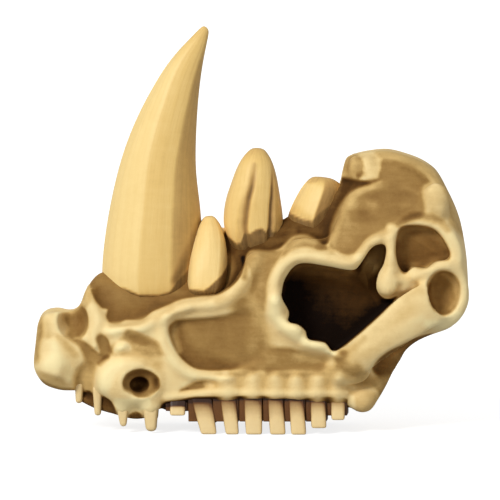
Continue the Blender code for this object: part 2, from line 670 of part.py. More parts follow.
def cheek_tooth(index, side, label, grow, collection):
    tooth = tooth_pillar(label, CHEEK_TEETH[index], PILLAR_HALF_DEPTH, side, grow, collection)
    crown = tooth_crown(label + "_crown", index, side, grow, collection)
    join_into(tooth, crown)
    return tooth


def finish(obj, look):
    obj.data.materials.clear()
    obj.data.materials.append(look)
    obj.data.shade_smooth()
    obj.data.set_sharp_from_angle(angle=math.radians(40))


def build_teeth(skull, cutters, look):
    """All teeth, and the sockets that fit them."""
    sockets = []
    for side_name, side in SIDES.items():
        for kind, make, teeth in (
            ("front_tooth", front_tooth, FRONT_TEETH),
            ("cheek_tooth", cheek_tooth, CHEEK_TEETH),
        ):
            for index in range(len(teeth)):
                name = f"{kind}_{index + 1}_{side_name}"
                finish(make(index, side, name, 0.0, skull), look)
                sockets.append(make(index, side, f"socket_{name}", SEAT_GAP, cutters))
    return sockets


def build_horns(skull, cutters, look):
    """The horns, each clear of the one before it, and the seats that fit them."""
    seats = []
    for name in HORNS:
        piece = horn(name, name, 0.0, skull)
        if name == "second_horn":
            cut(piece, seats)
        finish(piece, look)
        seats.append(horn(name, f"seat_{name}", SEAT_GAP, cutters))
    return seats


def build_cranium(skull, cutters, seats, look):
    cranium = cranium_forms(skull)
    cranium.name = "cranium"
    remesh(cranium, FORM_VOXEL, 4)
    hollows = cranium_cuts(cutters)
    cut(cranium, hollows)
    remesh(cranium, CUT_VOXEL, 3)
    fewer = cranium.modifiers.new("Fewer", "DECIMATE")
    fewer.ratio = CRANIUM_TRIANGLES / (2 * len(cranium.data.polygons))
    fewer.use_symmetry = True
    fewer.symmetry_axis = "Y"
    apply_modifiers(cranium)
    cut(cranium, seats)
    finish(cranium, look)
    hide_helpers(hollows)


def main():
    clear_scene()
    skull = new_collection("rhinoceros_skull")
    cutters = new_collection("cutters")
    seats = build_horns(skull, cutters, material("horn", HORN, 0.45))
    seats += build_teeth(skull, cutters, material("tooth", TOOTH, 0.40))
    build_cranium(skull, cutters, seats, material("bone", BONE, 0.65))
    hide_helpers(seats)


main()
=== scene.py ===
"""Looks of a weathered rhinoceros skull: bone, four horns and the upper teeth.

Places on the skull's side are side-view coordinates: u runs from the snout to
the back of the head and v runs down, in units of SKULL_LENGTH / VIEW_LENGTH. The
side view looks down at the skull by VIEW_TILT. The third number of a place is its
real distance from the midline, in metres. The right side mirrors the left.
"""

import math

import bmesh
import bpy
import numpy as np
from bpy.props import FloatProperty, FloatVectorProperty, PointerProperty
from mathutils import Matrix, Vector
from mathutils.bvhtree import BVHTree


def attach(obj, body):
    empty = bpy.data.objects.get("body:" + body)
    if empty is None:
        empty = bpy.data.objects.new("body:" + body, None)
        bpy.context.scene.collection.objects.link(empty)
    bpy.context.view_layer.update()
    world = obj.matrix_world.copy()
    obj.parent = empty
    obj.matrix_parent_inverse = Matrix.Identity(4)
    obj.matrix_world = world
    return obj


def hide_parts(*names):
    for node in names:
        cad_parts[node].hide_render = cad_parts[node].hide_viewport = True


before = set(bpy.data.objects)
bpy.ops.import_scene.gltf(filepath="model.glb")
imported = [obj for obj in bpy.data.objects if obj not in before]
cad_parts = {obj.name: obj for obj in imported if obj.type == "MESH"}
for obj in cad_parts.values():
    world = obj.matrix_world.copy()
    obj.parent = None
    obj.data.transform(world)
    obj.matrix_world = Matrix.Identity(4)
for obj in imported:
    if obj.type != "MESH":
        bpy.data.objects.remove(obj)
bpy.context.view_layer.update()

bl_info = {
    "name": "Rhinoceros Skull",
    "version": (1, 0, 0),
    "blender": (4, 5, 0),
    "location": "View3D > Sidebar > Skull",
    "description": "Models a weathered rhinoceros skull with its horns and upper teeth",
    "category": "Add Mesh",
}

SKULL_LENGTH = 0.652
VIEW_LENGTH = 434.7
VIEW_MIDDLE = 250.75
VIEW_BASE = 428.8
VIEW_TILT = math.radians(5)
PICTURE_SIZE = 500
UNIT = SKULL_LENGTH / VIEW_LENGTH
SIDES = {"left": -1, "right": 1}

# Lines along the cranium, from the midline of its roof down to the midline of
# its palate. Each cross-section passes through all of them.
ROOF = (
    (34, 358, 0), (37.5, 328, 0), (41, 315.5, 0), (49, 312, 0), (62, 313, 0), (78, 309.5, 0),
    (83, 298, 0), (91, 281.5, 0), (100, 273, 0), (118, 268, 0), (150, 268, 0), (180, 264, 0),
    (198, 250, 0), (208, 234, 0), (217, 226, 0), (240, 228, 0), (265, 226, 0), (283, 219, 0),
    (300, 208, 0), (320, 199, 0), (340, 190, 0), (346, 157.5, 0), (365, 152.5, 0), (384, 150.5, 0),
    (412, 157, 0), (434, 168.5, 0), (449, 193, 0), (460, 220, 0), (464.5, 245, 0), (466.5, 270, 0),
    (468, 292, 0),
)
SEAT = (
    (34, 359, 0.010), (39, 320, 0.022), (49, 312.5, 0.030), (78, 310, 0.030), (86, 291, 0.026),
    (100, 281, 0.030), (110, 287, 0.042), (125, 291, 0.050), (150, 294, 0.054), (180, 291, 0.054),
    (204, 291, 0.054), (215, 290, 0.047), (224, 283, 0.041), (232, 262, 0.036), (240, 248, 0.036),
    (262, 239, 0.040), (283, 232, 0.038), (300, 223, 0.036), (311, 221, 0.036), (319, 214, 0.036),
    (330, 205, 0.036), (338, 190, 0.032), (346, 163, 0.022), (365, 154, 0.026), (384, 152, 0.030),
    (412, 159, 0.036), (434, 172, 0.040), (449, 197, 0.042), (460, 225, 0.040), (466, 258, 0.032),
    (468, 291, 0.014),
)
SHOULDER = (
    (34, 360, 0.018), (39, 322, 0.038), (49, 314.5, 0.048), (78, 313, 0.048), (86, 297, 0.040),
    (95, 298, 0.044), (104, 307, 0.050), (118, 320, 0.057), (140, 318, 0.058), (152, 310, 0.059),
    (170, 303, 0.060), (185, 298, 0.061), (203, 297, 0.061), (219, 293, 0.059), (236, 281, 0.057),
    (246, 262, 0.058), (260, 250, 0.058), (276, 249, 0.058), (292, 238, 0.056), (312, 238, 0.054),
    (326, 238, 0.052), (334, 222, 0.048), (346, 190, 0.042), (365, 166, 0.044), (384, 162, 0.050),
    (412, 170, 0.058), (434, 184, 0.064), (449, 207, 0.068), (460, 236, 0.066), (466, 265, 0.054),
    (468, 292, 0.026),
)
UPPER_SIDE = (
    (34, 358, 0.030), (38, 338, 0.050), (50, 331, 0.060), (78, 327, 0.060), (90, 318, 0.060),
    (100, 320, 0.064), (120, 330, 0.071), (141, 326, 0.073), (157, 317, 0.074), (172, 310, 0.074),
    (187, 305, 0.074), (203, 303, 0.074), (219, 299, 0.075), (236, 288, 0.077), (248, 273, 0.080),
    (258, 262, 0.083), (275, 258, 0.086), (292, 250, 0.088), (312, 246, 0.088), (330, 240, 0.085),
    (345, 214, 0.076), (360, 202, 0.070), (384, 196, 0.074), (412, 202, 0.084), (434, 213, 0.091),
    (449, 230, 0.093), (460, 252, 0.088), (466, 273, 0.072), (468, 293, 0.036),
)
SIDE = (
    (34, 364, 0.034), (38, 358, 0.056), (50, 356, 0.065), (78, 354, 0.066), (100, 350, 0.068),
    (125, 358, 0.074), (150, 354, 0.077), (180, 340, 0.078), (220, 333, 0.080), (250, 320, 0.086),
    (270, 302, 0.094), (300, 290, 0.098), (330, 284, 0.100), (360, 272, 0.102), (384, 262, 0.104),
    (412, 262, 0.106), (434, 262, 0.107), (449, 264, 0.104), (460, 274, 0.096), (466, 284, 0.078),
    (468, 296, 0.038),
)
LOWER_SIDE = (
    (34, 368, 0.028), (40, 376, 0.048), (50, 382, 0.056), (66, 387, 0.056), (80, 382, 0.050),
    (95, 380, 0.060), (120, 384, 0.071), (150, 380, 0.077), (190, 378, 0.078), (230, 375, 0.080),
    (270, 370, 0.084), (300, 366, 0.088), (330, 362, 0.086), (345, 372, 0.076), (362, 382, 0.066),
    (380, 368, 0.056), (395, 345, 0.058), (412, 326, 0.078), (434, 318, 0.098), (449, 314, 0.096),
    (458, 308, 0.088), (464, 302, 0.066), (468, 298, 0.032),
)
GUM = (
    (34, 369, 0.014), (45, 382, 0.028), (60, 389.5, 0.034), (74, 390.5, 0.034), (90, 393, 0.040),
    (105, 396, 0.050), (125, 404, 0.062), (150, 407, 0.066), (170, 401, 0.064), (200, 399, 0.068),
    (250, 399, 0.072), (300, 399, 0.074), (345, 404, 0.070), (362, 411, 0.060), (374, 401, 0.056),
    (386, 378, 0.052), (399, 358, 0.052), (414, 342, 0.058), (430, 334, 0.070), (449, 327, 0.072),
    (458, 318, 0.068), (464, 308, 0.050), (468, 299, 0.018),
)
PALATE = (
    (34, 369, 0), (45, 380, 0), (60, 385, 0), (80, 380, 0), (105, 376, 0), (150, 374, 0),
    (200, 370, 0), (250, 368, 0), (300, 368, 0), (340, 370, 0), (365, 370, 0), (385, 358, 0),
    (399, 346, 0), (414, 338, 0), (430, 331, 0), (449, 325, 0), (458, 317, 0), (464, 307, 0),
    (468, 299, 0),
)
CRANIUM_LINES = (ROOF, SEAT, SHOULDER, UPPER_SIDE, SIDE, LOWER_SIDE, GUM, PALATE)
FIRST_STATION, LAST_STATION = 34, 468

# Raised bone: a centre line of places, each with its radius in metres.
RIDGES = {
    "maxillary_ridge": (
        (106, 336, 0.066, 0.008), (120, 331, 0.070, 0.009), (141, 329, 0.072, 0.009),
        (157, 321, 0.072, 0.010), (172, 313, 0.071, 0.010), (187, 308, 0.071, 0.010),
        (203, 306, 0.071, 0.011), (221, 302, 0.071, 0.012), (238, 290, 0.073, 0.014),
        (249, 274, 0.076, 0.015), (257, 263, 0.076, 0.016),
    ),
    "nasal_strut": (
        (89, 288, 0.040, 0.008), (94, 303, 0.050, 0.008), (100, 322, 0.060, 0.008),
        (103, 340, 0.064, 0.009),
    ),
    "fossa_front_rim": (
        (178, 312, 0.072, 0.008), (168, 325, 0.073, 0.008), (167, 340, 0.075, 0.009),
        (174, 356, 0.076, 0.009), (186, 369, 0.077, 0.008), (204, 376, 0.076, 0.007),
        (226, 378, 0.075, 0.006),
    ),
    "orbital_rim": (
        (342, 352, 0.094, 0.010), (322, 347, 0.094, 0.011), (306, 342, 0.094, 0.012),
        (292, 331, 0.094, 0.012), (279, 317, 0.093, 0.012), (272, 303, 0.093, 0.013),
        (272, 289, 0.092, 0.012), (277, 273, 0.091, 0.012), (289, 260, 0.090, 0.011),
        (305, 257, 0.091, 0.010), (325, 259, 0.094, 0.010), (347, 263, 0.098, 0.010),
        (358, 259, 0.101, 0.010), (368, 246, 0.103, 0.010), (380, 239, 0.103, 0.010),
    ),
    "crest_corner": (
        (344.5, 186, 0.010, 0.006), (346.5, 172, 0.012, 0.006), (350.5, 161, 0.012, 0.006),
    ),
    "post_orbital_strut": (
        (388, 234, 0.102, 0.008), (390, 250, 0.104, 0.008), (390, 266, 0.105, 0.009),
        (388, 277, 0.105, 0.011), (387, 286, 0.104, 0.008),
    ),
    "upper_hollow_rim": (
        (392, 262, 0.100, 0.007), (391, 244, 0.099, 0.007), (396, 229, 0.093, 0.007),
        (411, 220, 0.088, 0.008), (433, 223, 0.090, 0.008), (449, 237, 0.094, 0.009),
        (456, 254, 0.093, 0.009), (449, 267, 0.098, 0.010), (430, 272, 0.102, 0.010),
        (408, 277, 0.104, 0.010),
    ),
    "lower_hollow_rim": (
        (430, 272, 0.100, 0.010), (447, 266, 0.100, 0.009), (460, 280, 0.090, 0.009),
        (461, 302, 0.086, 0.010), (450, 319, 0.092, 0.010), (434, 322, 0.098, 0.011),
        (424, 306, 0.102, 0.012), (424, 286, 0.102, 0.010),
    ),
    "tooth_ledge": (
        (80, 394, 0.024, 0.010), (98, 402, 0.033, 0.011), (116, 406, 0.043, 0.013),
        (136, 411, 0.050, 0.013), (156, 408, 0.052, 0.012),
    ),
    "pterygoid_wing": (
        (396, 350, 0.052, 0.014), (384, 370, 0.052, 0.014), (373, 388, 0.056, 0.016),
        (362, 399, 0.060, 0.020),
    ),
}

# Rounded bone: a place and the half-sizes along X, Y and Z.
BUMPS = {
    "snout_bulge": ((55, 363, 0.040), (0.0315, 0.034, 0.034)),
    "snout_foot": ((60, 374, 0.036), (0.032, 0.030, 0.022)),
    "cheek_bulge": ((133, 380, 0.064), (0.054, 0.031, 0.039)),
    "arch_root": ((350, 370, 0.084), (0.032, 0.015, 0.022)),
    "small_bump": ((122, 347, 0.070), (0.012, 0.013, 0.008)),
    "orbit_lobe_upper": ((278, 303, 0.094), (0.015, 0.016, 0.021)),
    "orbit_lobe_lower": ((294, 327, 0.095), (0.018, 0.016, 0.016)),
    "orbit_lobe_back": ((318, 343, 0.095), (0.022, 0.015, 0.013)),
    "brow_front": ((258, 264, 0.066), (0.020, 0.020, 0.020)),
    "brow_back": ((305, 252, 0.076), (0.030, 0.018, 0.022)),
    "crest_tubercle_front": ((355, 169, 0.030), (0.011, 0.018, 0.020)),
    "crest_tubercle_back": ((366, 168, 0.038), (0.011, 0.016, 0.018)),
    "temple_highlight": ((434, 202, 0.086), (0.022, 0.016, 0.030)),
    "occipital_condyle": ((454, 298, 0.034), (0.022, 0.021, 0.027)),
    "rear_knob": ((362, 399, 0.062), (0.021, 0.021, 0.021)),
}

# The zygomatic arch is a flat bar: its places, and its half-height and
# half-thickness at each.
ARCH = (
    (328, 372, 0.078, 0.018, 0.014), (344, 364, 0.092, 0.024, 0.014),
    (358, 356, 0.104, 0.027, 0.012), (375, 342, 0.117, 0.030, 0.011),
    (394, 326, 0.125, 0.033, 0.011), (413, 312, 0.124, 0.035, 0.012),
    (432, 302, 0.112, 0.034, 0.015), (450, 297, 0.088, 0.028, 0.016),
)

# Hollows cut straight in from the side: the outline, and the distances from the
# midline where the cut starts and ends.
ORBIT = (
    (294, 266), (305.5, 263), (326.5, 266), (351, 270), (359, 264), (371, 247), (384, 245),
    (383, 262), (377, 274), (375, 286), (378, 294), (383.5, 298.5), (389, 298.5), (396, 296.5),
    (372.4, 321), (336, 350), (324.6, 342), (307.4, 338.5), (305.5, 331), (297.8, 324),
    (287.3, 321), (289, 312), (281.6, 298), (281.6, 291), (284.4, 279),
)
UPPER_HOLLOW = (
    (396, 232), (409, 225.5), (433, 230), (447, 250), (446, 259), (433, 262), (425, 268),
    (412, 267), (403, 273), (395, 260),
)
TEMPORAL_PASSAGE = (
    (356, 346), (380, 322), (404, 302), (422, 312), (414, 334), (396, 352), (380, 366), (364, 366),
)
SIDE_CUTS = {
    "orbit": (ORBIT, 0.160, 0.040),
    "upper_hollow": (UPPER_HOLLOW, 0.160, 0.078),
    "temporal_passage": (TEMPORAL_PASSAGE, 0.104, 0.062),
}

# Round hollows: a place and the half-sizes of the cut along X, Y and Z.
PITS = {
    "nose_opening": ((73, 318, 0.074), (0.025, 0.052, 0.034)),
    "cheek_hole": ((142.5, 382.5, 0.096), (0.029, 0.030, 0.0225)),
    "cheek_hole_core": ((140, 384, 0.068), (0.015, 0.026, 0.012)),
    "lower_hollow": ((440.8, 292.6, 0.106), (0.0270, 0.032, 0.034)),
}

MIDLINE_PITS = {
    "foramen_magnum": ((470, 276, 0), (0.050, 0.024, 0.020)),
    "occipital_hollow": ((482, 232, 0), (0.034, 0.062, 0.056)),
    "choanae": ((374, 396, 0), (0.052, 0.029, 0.042)),
}

# Upper teeth: u of the two edges at the gum, u of the two edges at the worn end,
# v of the gum and of the worn end (None stands the tooth on the surface below),
# distance from the midline.
FRONT_TEETH = (
    ((75.5, 83.5), (76.5, 82), 388, 403, 0.034), ((93.5, 102.5), (95.5, 101), 392, 415, 0.046),
    ((115.5, 130), (121.5, 126.5), 402, 425.5, 0.063),
    ((143, 159), (147, 156.5), 405, 430.5, 0.069),
)
CHEEK_TEETH = (
    ((170, 186), (171, 185), 403, 414.6, 0.072), ((190, 211), (202, 216.5), 399, None, 0.075),
    ((219, 235.5), (226.5, 238.5), 397, None, 0.077),
    ((243.5, 262), (246.5, 261.5), 396, None, 0.078), ((267, 282), (270.5, 285), 396, None, 0.079),
    ((288, 302.5), (291.5, 305.5), 397, None, 0.080),
    ((309.5, 324.5), (311.5, 325.5), 398, 427, 0.079),
    ((330, 345), (331.5, 343.5), 398, 419, 0.077),
)
# A cheek tooth is an outer pillar in front of a broad crown. Sizes are in metres, but
# the ends, in v, and what rounding takes off each side of a pillar, in view units.
FRONT_TOOTH_HALF_DEPTH = 0.008
PILLAR_HALF_DEPTH = 0.0075
PILLAR_ALLOWANCE = 0.5
PILLAR_CORNER = 0.0062
PILLAR_CORNER_SHARE = 0.44
# How far a pillar's outer and inner face draw in towards its worn end.
PILLAR_TAPER = (0.0020, 0.0015)
WORN_LEVEL = 434
ROOT_LENGTH = 0.010
ROOT_SET_BACK = 0.0085
CROWN_INSET = 0.020
CROWN_HALF_DEPTH = 0.019
CROWN_TAPER = 0.002
CROWN_CORNER = 0.0012
CROWN_GAP = 0.0003
CROWN_END = 421
CROWN_CLEARANCE = 4
# The share of its depth by which a crown leans along the row, so that no gap between
# two crowns lies along the view.
CROWN_LEAN = 0.08
# A block's rows of faces, and which of its edges run from end to end.
BLOCK_ROWS = 12
LONG_EDGE_SHARE = 0.6
SHARP_ANGLE = math.radians(50)

# Horns: pairs of side-view points on the front and the back edge, each pair
# with the half-width of the horn across the skull, then the tip.
NASAL_HORN = (
    ((108, 302), (198, 302), 0.054), ((103, 280), (200.5, 278), 0.059),
    ((102.7, 269), (201.5, 264), 0.060), ((104.7, 243), (201.5, 234), 0.059),
    ((111.6, 200), (199.5, 204), 0.054), ((123.5, 152), (194.7, 172), 0.044),
    ((139, 115), (195.2, 140), 0.036), ((152, 91), (196.5, 114), 0.029),
    ((165, 69), (198.6, 89), 0.023), ((178.5, 52), (201.5, 68), 0.016),
    ((190.7, 39.7), (204.5, 52), 0.010), ((200.5, 29.5), (207.8, 37), 0.005),
    ((204.8, 26.3), (208.8, 29.5), 0.0025),
)
SECOND_HORN = (
    ((187.5, 300), (222, 296), 0.058), ((187, 284), (226, 278), 0.060),
    ((188, 268), (227, 262), 0.056), ((191.5, 252), (225.5, 247), 0.048),
    ((196, 237), (222, 233), 0.037), ((200.5, 225), (217.5, 223), 0.024),
    ((204.5, 218), (213.5, 217), 0.012), ((207, 216), (211.5, 215.6), 0.006),
)
FRONTAL_HORN = (
    ((236, 258), (278, 254), 0.034), ((229, 240), (281.5, 236), 0.041),
    ((223, 224), (283, 221), 0.042), ((226, 199), (280, 201), 0.040),
    ((231.5, 185), (278, 188), 0.036), ((236, 171), (275.5, 174), 0.030),
    ((242, 159), (271.5, 161), 0.022), ((249, 151), (266, 152), 0.013),
    ((254, 147.6), (262, 148.2), 0.006),
)
THIRD_HORN = (
    ((290, 236), (336, 232), 0.034), ((286, 220), (340, 214), 0.038),
    ((295, 200), (342.5, 198), 0.034), ((303, 186), (343, 187.5), 0.026),
    ((310, 178.6), (337, 181.5), 0.016), ((315, 176), (330, 177.8), 0.008),
)
HORNS = {
    "nasal_horn": (NASAL_HORN, 1.0),
    "second_horn": (SECOND_HORN, 0.5),
    "frontal_horn": (FRONTAL_HORN, 0.9),
    "third_horn": (THIRD_HORN, 0.9),
}

# Relief of the cranium's sides. An outline is a closed line of (u, v) places; a
# place may give the width of its own edge, in view units, as a third number. A
# hollow has an outline, its depth in metres at the outline's front and back, and
# the width of its edge. A swell has a centre line of (u, v, radius in view units)
# and its height in metres.
NOSE_OPENING = (
    (57, 320, 7), (58, 312, 5), (63, 306), (80, 304), (87, 311), (89, 320), (88.5, 328), (85, 335),
    (80, 340), (73, 339.5, 5), (66, 335, 7), (60, 328, 8),
)
SNOUT_CHANNEL = (
    (71, 339, 6), (79, 345, 6), (83.5, 352, 6), (86, 361, 8), (80, 368, 9), (76, 375, 7),
    (75, 384, 5), (77, 393, 4), (92, 397), (94.5, 386, 6), (95.5, 374, 7), (99, 364, 6),
    (106, 358, 4), (99, 352, 3), (94, 348, 4), (88, 343, 4), (81, 339, 4),
)
CHANNEL_TOP = (
    (71, 338, 5), (79, 345, 5), (83.5, 352, 5), (86.5, 361, 8), (91, 368, 12), (97, 362, 8),
    (105, 357, 4), (99, 352.5, 3), (94, 348, 4), (88, 343, 4), (81, 339, 4),
)
FACIAL_SLOT = (
    (97, 338, 5), (101, 333.5, 5), (107, 336, 3), (110.5, 343, 3), (111, 352, 4), (107, 358, 7),
    (101.5, 355, 3), (99.5, 346, 3),
)
FACIAL_GROOVE = (
    (126.5, 337, 4), (128, 330, 4), (131, 328.5, 4), (141, 333), (153, 339), (159, 345, 7),
    (152, 348.5, 7), (141, 346, 4), (132, 342),
)
TROUGH = (
    (90, 280), (91, 288), (94, 296), (98, 303), (103, 308), (108, 309.5), (107, 317), (112, 323.5),
    (120, 324), (126, 320), (141, 320), (147, 317), (153, 311.5), (169, 305), (183, 299),
    (200, 296.5), (215, 295), (226, 290), (236, 282), (242, 272), (245, 258), (250, 250.5),
    (258, 249), (272, 250), (281, 247), (291, 237), (303, 234), (314, 238), (322, 244), (328, 242),
    (331, 230), (336, 216), (345, 198), (356, 189), (372, 184), (380, 179, 6), (364, 181),
    (350, 180), (337, 178), (326, 190), (314, 200), (298, 206), (284, 205), (262, 215), (232, 225),
    (218, 245), (212, 262), (200, 262), (180, 266), (160, 276), (141, 276), (125, 270), (110, 264),
    (98, 262),
)
DEEP_TROUGH = (
    (216, 294, 6), (228, 288, 5), (238, 279, 4), (243, 268, 3), (246, 256, 3), (252, 250, 3),
    (270, 250), (282, 246), (292, 237), (304, 234), (315, 238), (323, 244), (328, 240), (331, 228),
    (336, 215), (345, 198), (355, 190, 4), (370, 184, 5), (352, 180), (338, 178), (328, 190),
    (316, 200), (298, 206), (284, 205), (262, 215), (232, 225), (218, 245), (214, 268),
    (216, 284, 5),
)
FOSSA = (
    (169.5, 329, 3), (172, 340, 3), (178, 352, 3), (187, 362, 3), (200, 368.5, 3), (222, 369.5, 4),
    (245, 366, 8), (262, 360, 16), (268, 346, 26), (262, 326, 30), (254, 311, 22), (240, 311, 12),
    (226, 315, 7), (210, 317.5, 5), (190, 319, 5), (177, 320, 5), (171, 324, 4),
)
FOSSA_DEPTH = (
    (169.5, 329, 3), (172, 340, 3), (178, 352, 3), (187, 362, 3), (200, 368.5, 3), (226, 369, 4),
    (238, 364, 10), (216, 357, 14), (199, 349, 14), (187, 336, 14), (181, 324, 10), (173, 323, 4),
)
FOSSA_FLOOR_GROOVE = (
    (180, 391), (187, 385.5), (196, 380.5), (206, 378.5), (215, 380), (216, 386), (205, 389.5),
    (192, 391.5),
)
UNDER_RIM = (
    (246, 352, 24), (262, 345, 18), (276, 346, 7), (290, 347, 6), (302, 351, 6), (316, 355, 7),
    (328, 359, 8), (322, 367, 8), (300, 369.5, 6), (275, 370, 6), (250, 370, 8), (238, 364, 18),
)
TEMPLE = (
    (331, 247, 4), (330, 236, 4), (333, 222, 4), (339, 208, 4), (348, 195, 4), (361, 187, 6),
    (380, 181, 8), (402, 180, 8), (418, 186, 8), (425, 202, 8), (420, 216, 8), (406, 221, 8),
    (394, 226, 8), (380, 233, 6), (366, 240, 5), (356, 252, 5), (344, 255, 5),
)
TEMPLE_DEPTH = (
    (358, 200, 14), (376, 190, 12), (396, 188, 12), (412, 194, 10), (416, 206, 10), (404, 215, 10),
    (388, 221, 14), (370, 226, 18), (354, 216, 18),
)
CREST_BAND = (
    (381, 160, 6), (398, 162.5, 6), (417, 170, 6), (429, 182, 7), (420, 192, 10), (402, 187, 10),
    (384, 183, 8), (377, 176, 5),
)
REAR_HOLLOW = (
    (395, 240, 3), (398, 231, 3), (408, 225.5, 3), (422, 226, 3), (434, 230, 3), (443, 240, 3),
    (448, 252, 3), (447, 260, 3), (436, 261, 3), (430, 266, 3), (420, 269, 3), (410, 267, 3),
    (404, 273.5, 3), (399, 271, 3), (395, 260, 3), (393.5, 250, 3),
)
LOWER_HOLLOW = (
    (426, 292), (428.5, 281), (434, 273.5), (442, 270.6), (451, 273), (457.5, 281), (458.5, 292),
    (456, 304), (450, 312), (442, 314.6), (434, 312), (428, 304),
)
UNDER_ARCH = (
    (371.5, 366, 3), (376, 359, 3), (386, 350.5, 3), (400, 343.5, 3), (414, 337, 3), (432, 333, 3),
    (424, 344), (410, 356), (398, 368), (391, 377, 5), (380, 377, 6), (373, 372, 5),
)
CHEEK_HOLE = (
    (123.5, 382.5), (125.5, 375), (131.5, 370), (140, 368), (149, 369.5), (157, 374), (161, 381),
    (159.5, 388), (153, 394), (145, 397), (137, 396), (131, 391, 5), (125.5, 389, 7),
)
HOLLOWS = {
    "trough": (TROUGH, 0.006, 0.005, 5),
    "deep_trough": (DEEP_TROUGH, 0.004, 0.004, 8),
    "fossa": (FOSSA, 0.011, 0.007, 8),
    "fossa_depth": (FOSSA_DEPTH, 0.002, 0.002, 8),
    "under_rim": (UNDER_RIM, 0.002, 0.004, 8),
    "nose_opening": (NOSE_OPENING, 0.0, 0.005, 7),
    "snout_channel": (SNOUT_CHANNEL, 0.009, 0.007, 8),
    "facial_slot": (FACIAL_SLOT, 0.005, 0.005, 5),
    "facial_groove": (FACIAL_GROOVE, 0.004, 0.003, 5),
    "fossa_floor_groove": (FOSSA_FLOOR_GROOVE, 0.005, 0.005, 6),
    "temple": (TEMPLE, 0.001, 0.001, 12),
    "temple_depth": (TEMPLE_DEPTH, 0.003, 0.003, 16),
    "crest_band": (CREST_BAND, 0.001, 0.001, 10),
    "rear_hollow": (REAR_HOLLOW, 0.006, 0.006, 4),
    "lower_hollow": (LOWER_HOLLOW, 0.004, 0.004, 4),
    "under_arch": (UNDER_ARCH, 0.006, 0.006, 5),
}
SWELLS = {
    "snout_front": (((45, 322, 7), (45, 334, 8), (42, 350, 10), (44, 364, 12)), 0.003),
    "snout_middle": (((56, 344, 12), (60, 358, 15), (60, 370, 13)), 0.004),
    "snout_fold": (((46, 371, 5), (58, 374, 5), (70, 380, 5)), 0.002),
    "strut": (((85, 297, 8), (92, 308, 9), (98, 318, 10), (95, 332, 7), (96, 346, 5)), 0.004),
    "ridge_front": ((
        (110, 331, 7), (125, 327, 8), (140, 327, 9), (156, 318, 10), (172, 311, 9), (188, 306, 9),
    ), 0.004),
    "ridge_back": ((
        (180, 308, 9), (196, 304, 9), (212, 303, 10), (228, 298, 11), (241, 287, 11),
        (249, 270, 10), (256, 257, 9),
    ), 0.005),
    "fossa_rim": ((
        (172, 313, 6), (163, 324, 7), (162, 340, 7), (167, 353, 8), (177, 365, 9), (191, 374, 8),
        (210, 377, 6), (232, 377, 5),
    ), 0.004),
    "orbital_rim": ((
        (382, 236, 6), (369, 241, 7), (360, 253, 8), (349, 262, 8), (325, 258, 8), (306, 255, 8),
        (291, 259, 8), (280, 269, 9), (275, 284, 9), (274, 299, 10),
    ), 0.005),
    "orbit_lobe_upper": (((274, 300, 11), (275, 312, 14)), 0.006),
    "orbit_lobe_lower": (((282, 325, 12), (296, 331, 13)), 0.007),
    "orbit_lobe_back": (((306, 342, 9), (318, 345, 9), (330, 350, 7), (338, 355, 5)), 0.006),
    "temple_front": ((
        (330, 247, 7), (335, 224, 9), (346, 204, 9), (360, 192, 8), (380, 188, 8),
    ), 0.001),
    "brow": (((288, 248, 8), (297, 240, 8), (307, 238, 8), (318, 244, 7)), 0.004),
    "front_brow": (((258, 256, 10), (258, 275, 10), (260, 295, 9), (262, 312, 8)), 0.003),
    "cheek_knob": (((119, 348, 7), (125, 346, 7)), 0.004),
    "boss_rim": ((
        (104, 388, 8), (104, 374, 10), (112, 365, 9), (126, 361, 7), (142, 361, 6),
    ), 0.004),
    "hollow_bridge": (((389, 228, 7), (389, 244, 7), (389, 260, 7)), 0.003),
    "drop": (((386, 270, 10), (386, 282, 14), (387, 288, 13)), 0.003),
    "behind_drop": (((398, 280, 8), (403, 286, 9), (397, 291, 7)), 0.006),
    "rear_rim": ((
        (430, 222, 6), (446, 230, 7), (456, 246, 7), (461, 266, 7), (464, 292, 7), (457, 314, 8),
        (438, 324, 8),
    ), 0.002),
    "hollow_ridge": (((400, 280, 6), (414, 275, 7), (430, 268, 6), (446, 265, 6)), 0.002),
    "arch": (((345, 362, 12), (370, 350, 14), (395, 330, 15), (414, 314, 14)), 0.002),
    "crest_back": (((368, 160, 8), (370, 168, 9), (369, 174, 7)), 0.002),
    "gum_edge": ((
        (168, 398, 6), (186, 395, 7), (206, 393, 8), (240, 393, 8), (285, 394, 8), (320, 393, 8),
        (345, 394, 7),
    ), 0.004),
    "temple_knob": (((428, 191, 8), (436, 200, 11), (440, 213, 9)), 0.003),
}
# The swell over a cheek tooth's root, as places from the middle of its gum line.
ROOT_SWELL = ((0, -19, 9), (0, -12, 13), (0, -5, 14), (0, -1, 13))
ROOT_SWELL_HEIGHT = 0.006
FIRST_SWOLLEN_ROOT = 2

# Small forms: the sockets' outer walls round the pointed front teeth, the rounded end
# of the strut behind the orbit, and the ridge of bone that the cheek teeth stand in.
SOCKETS = {
    "socket_3": ((122.5, 404, 0.064), (0.0125, 0.012, 0.016)),
    "socket_4": ((151.5, 405, 0.070), (0.0140, 0.012, 0.015)),
    "orbit_drop": ((386, 284, 0.104), (0.016, 0.014, 0.020)),
}
SOCKET_RIDGE = (
    (162, 405, 0.058, 0.008), (172, 406, 0.060, 0.009), (190, 405, 0.060, 0.010),
    (240, 408, 0.062, 0.011), (300, 408, 0.063, 0.011), (346, 403, 0.060, 0.009),
)

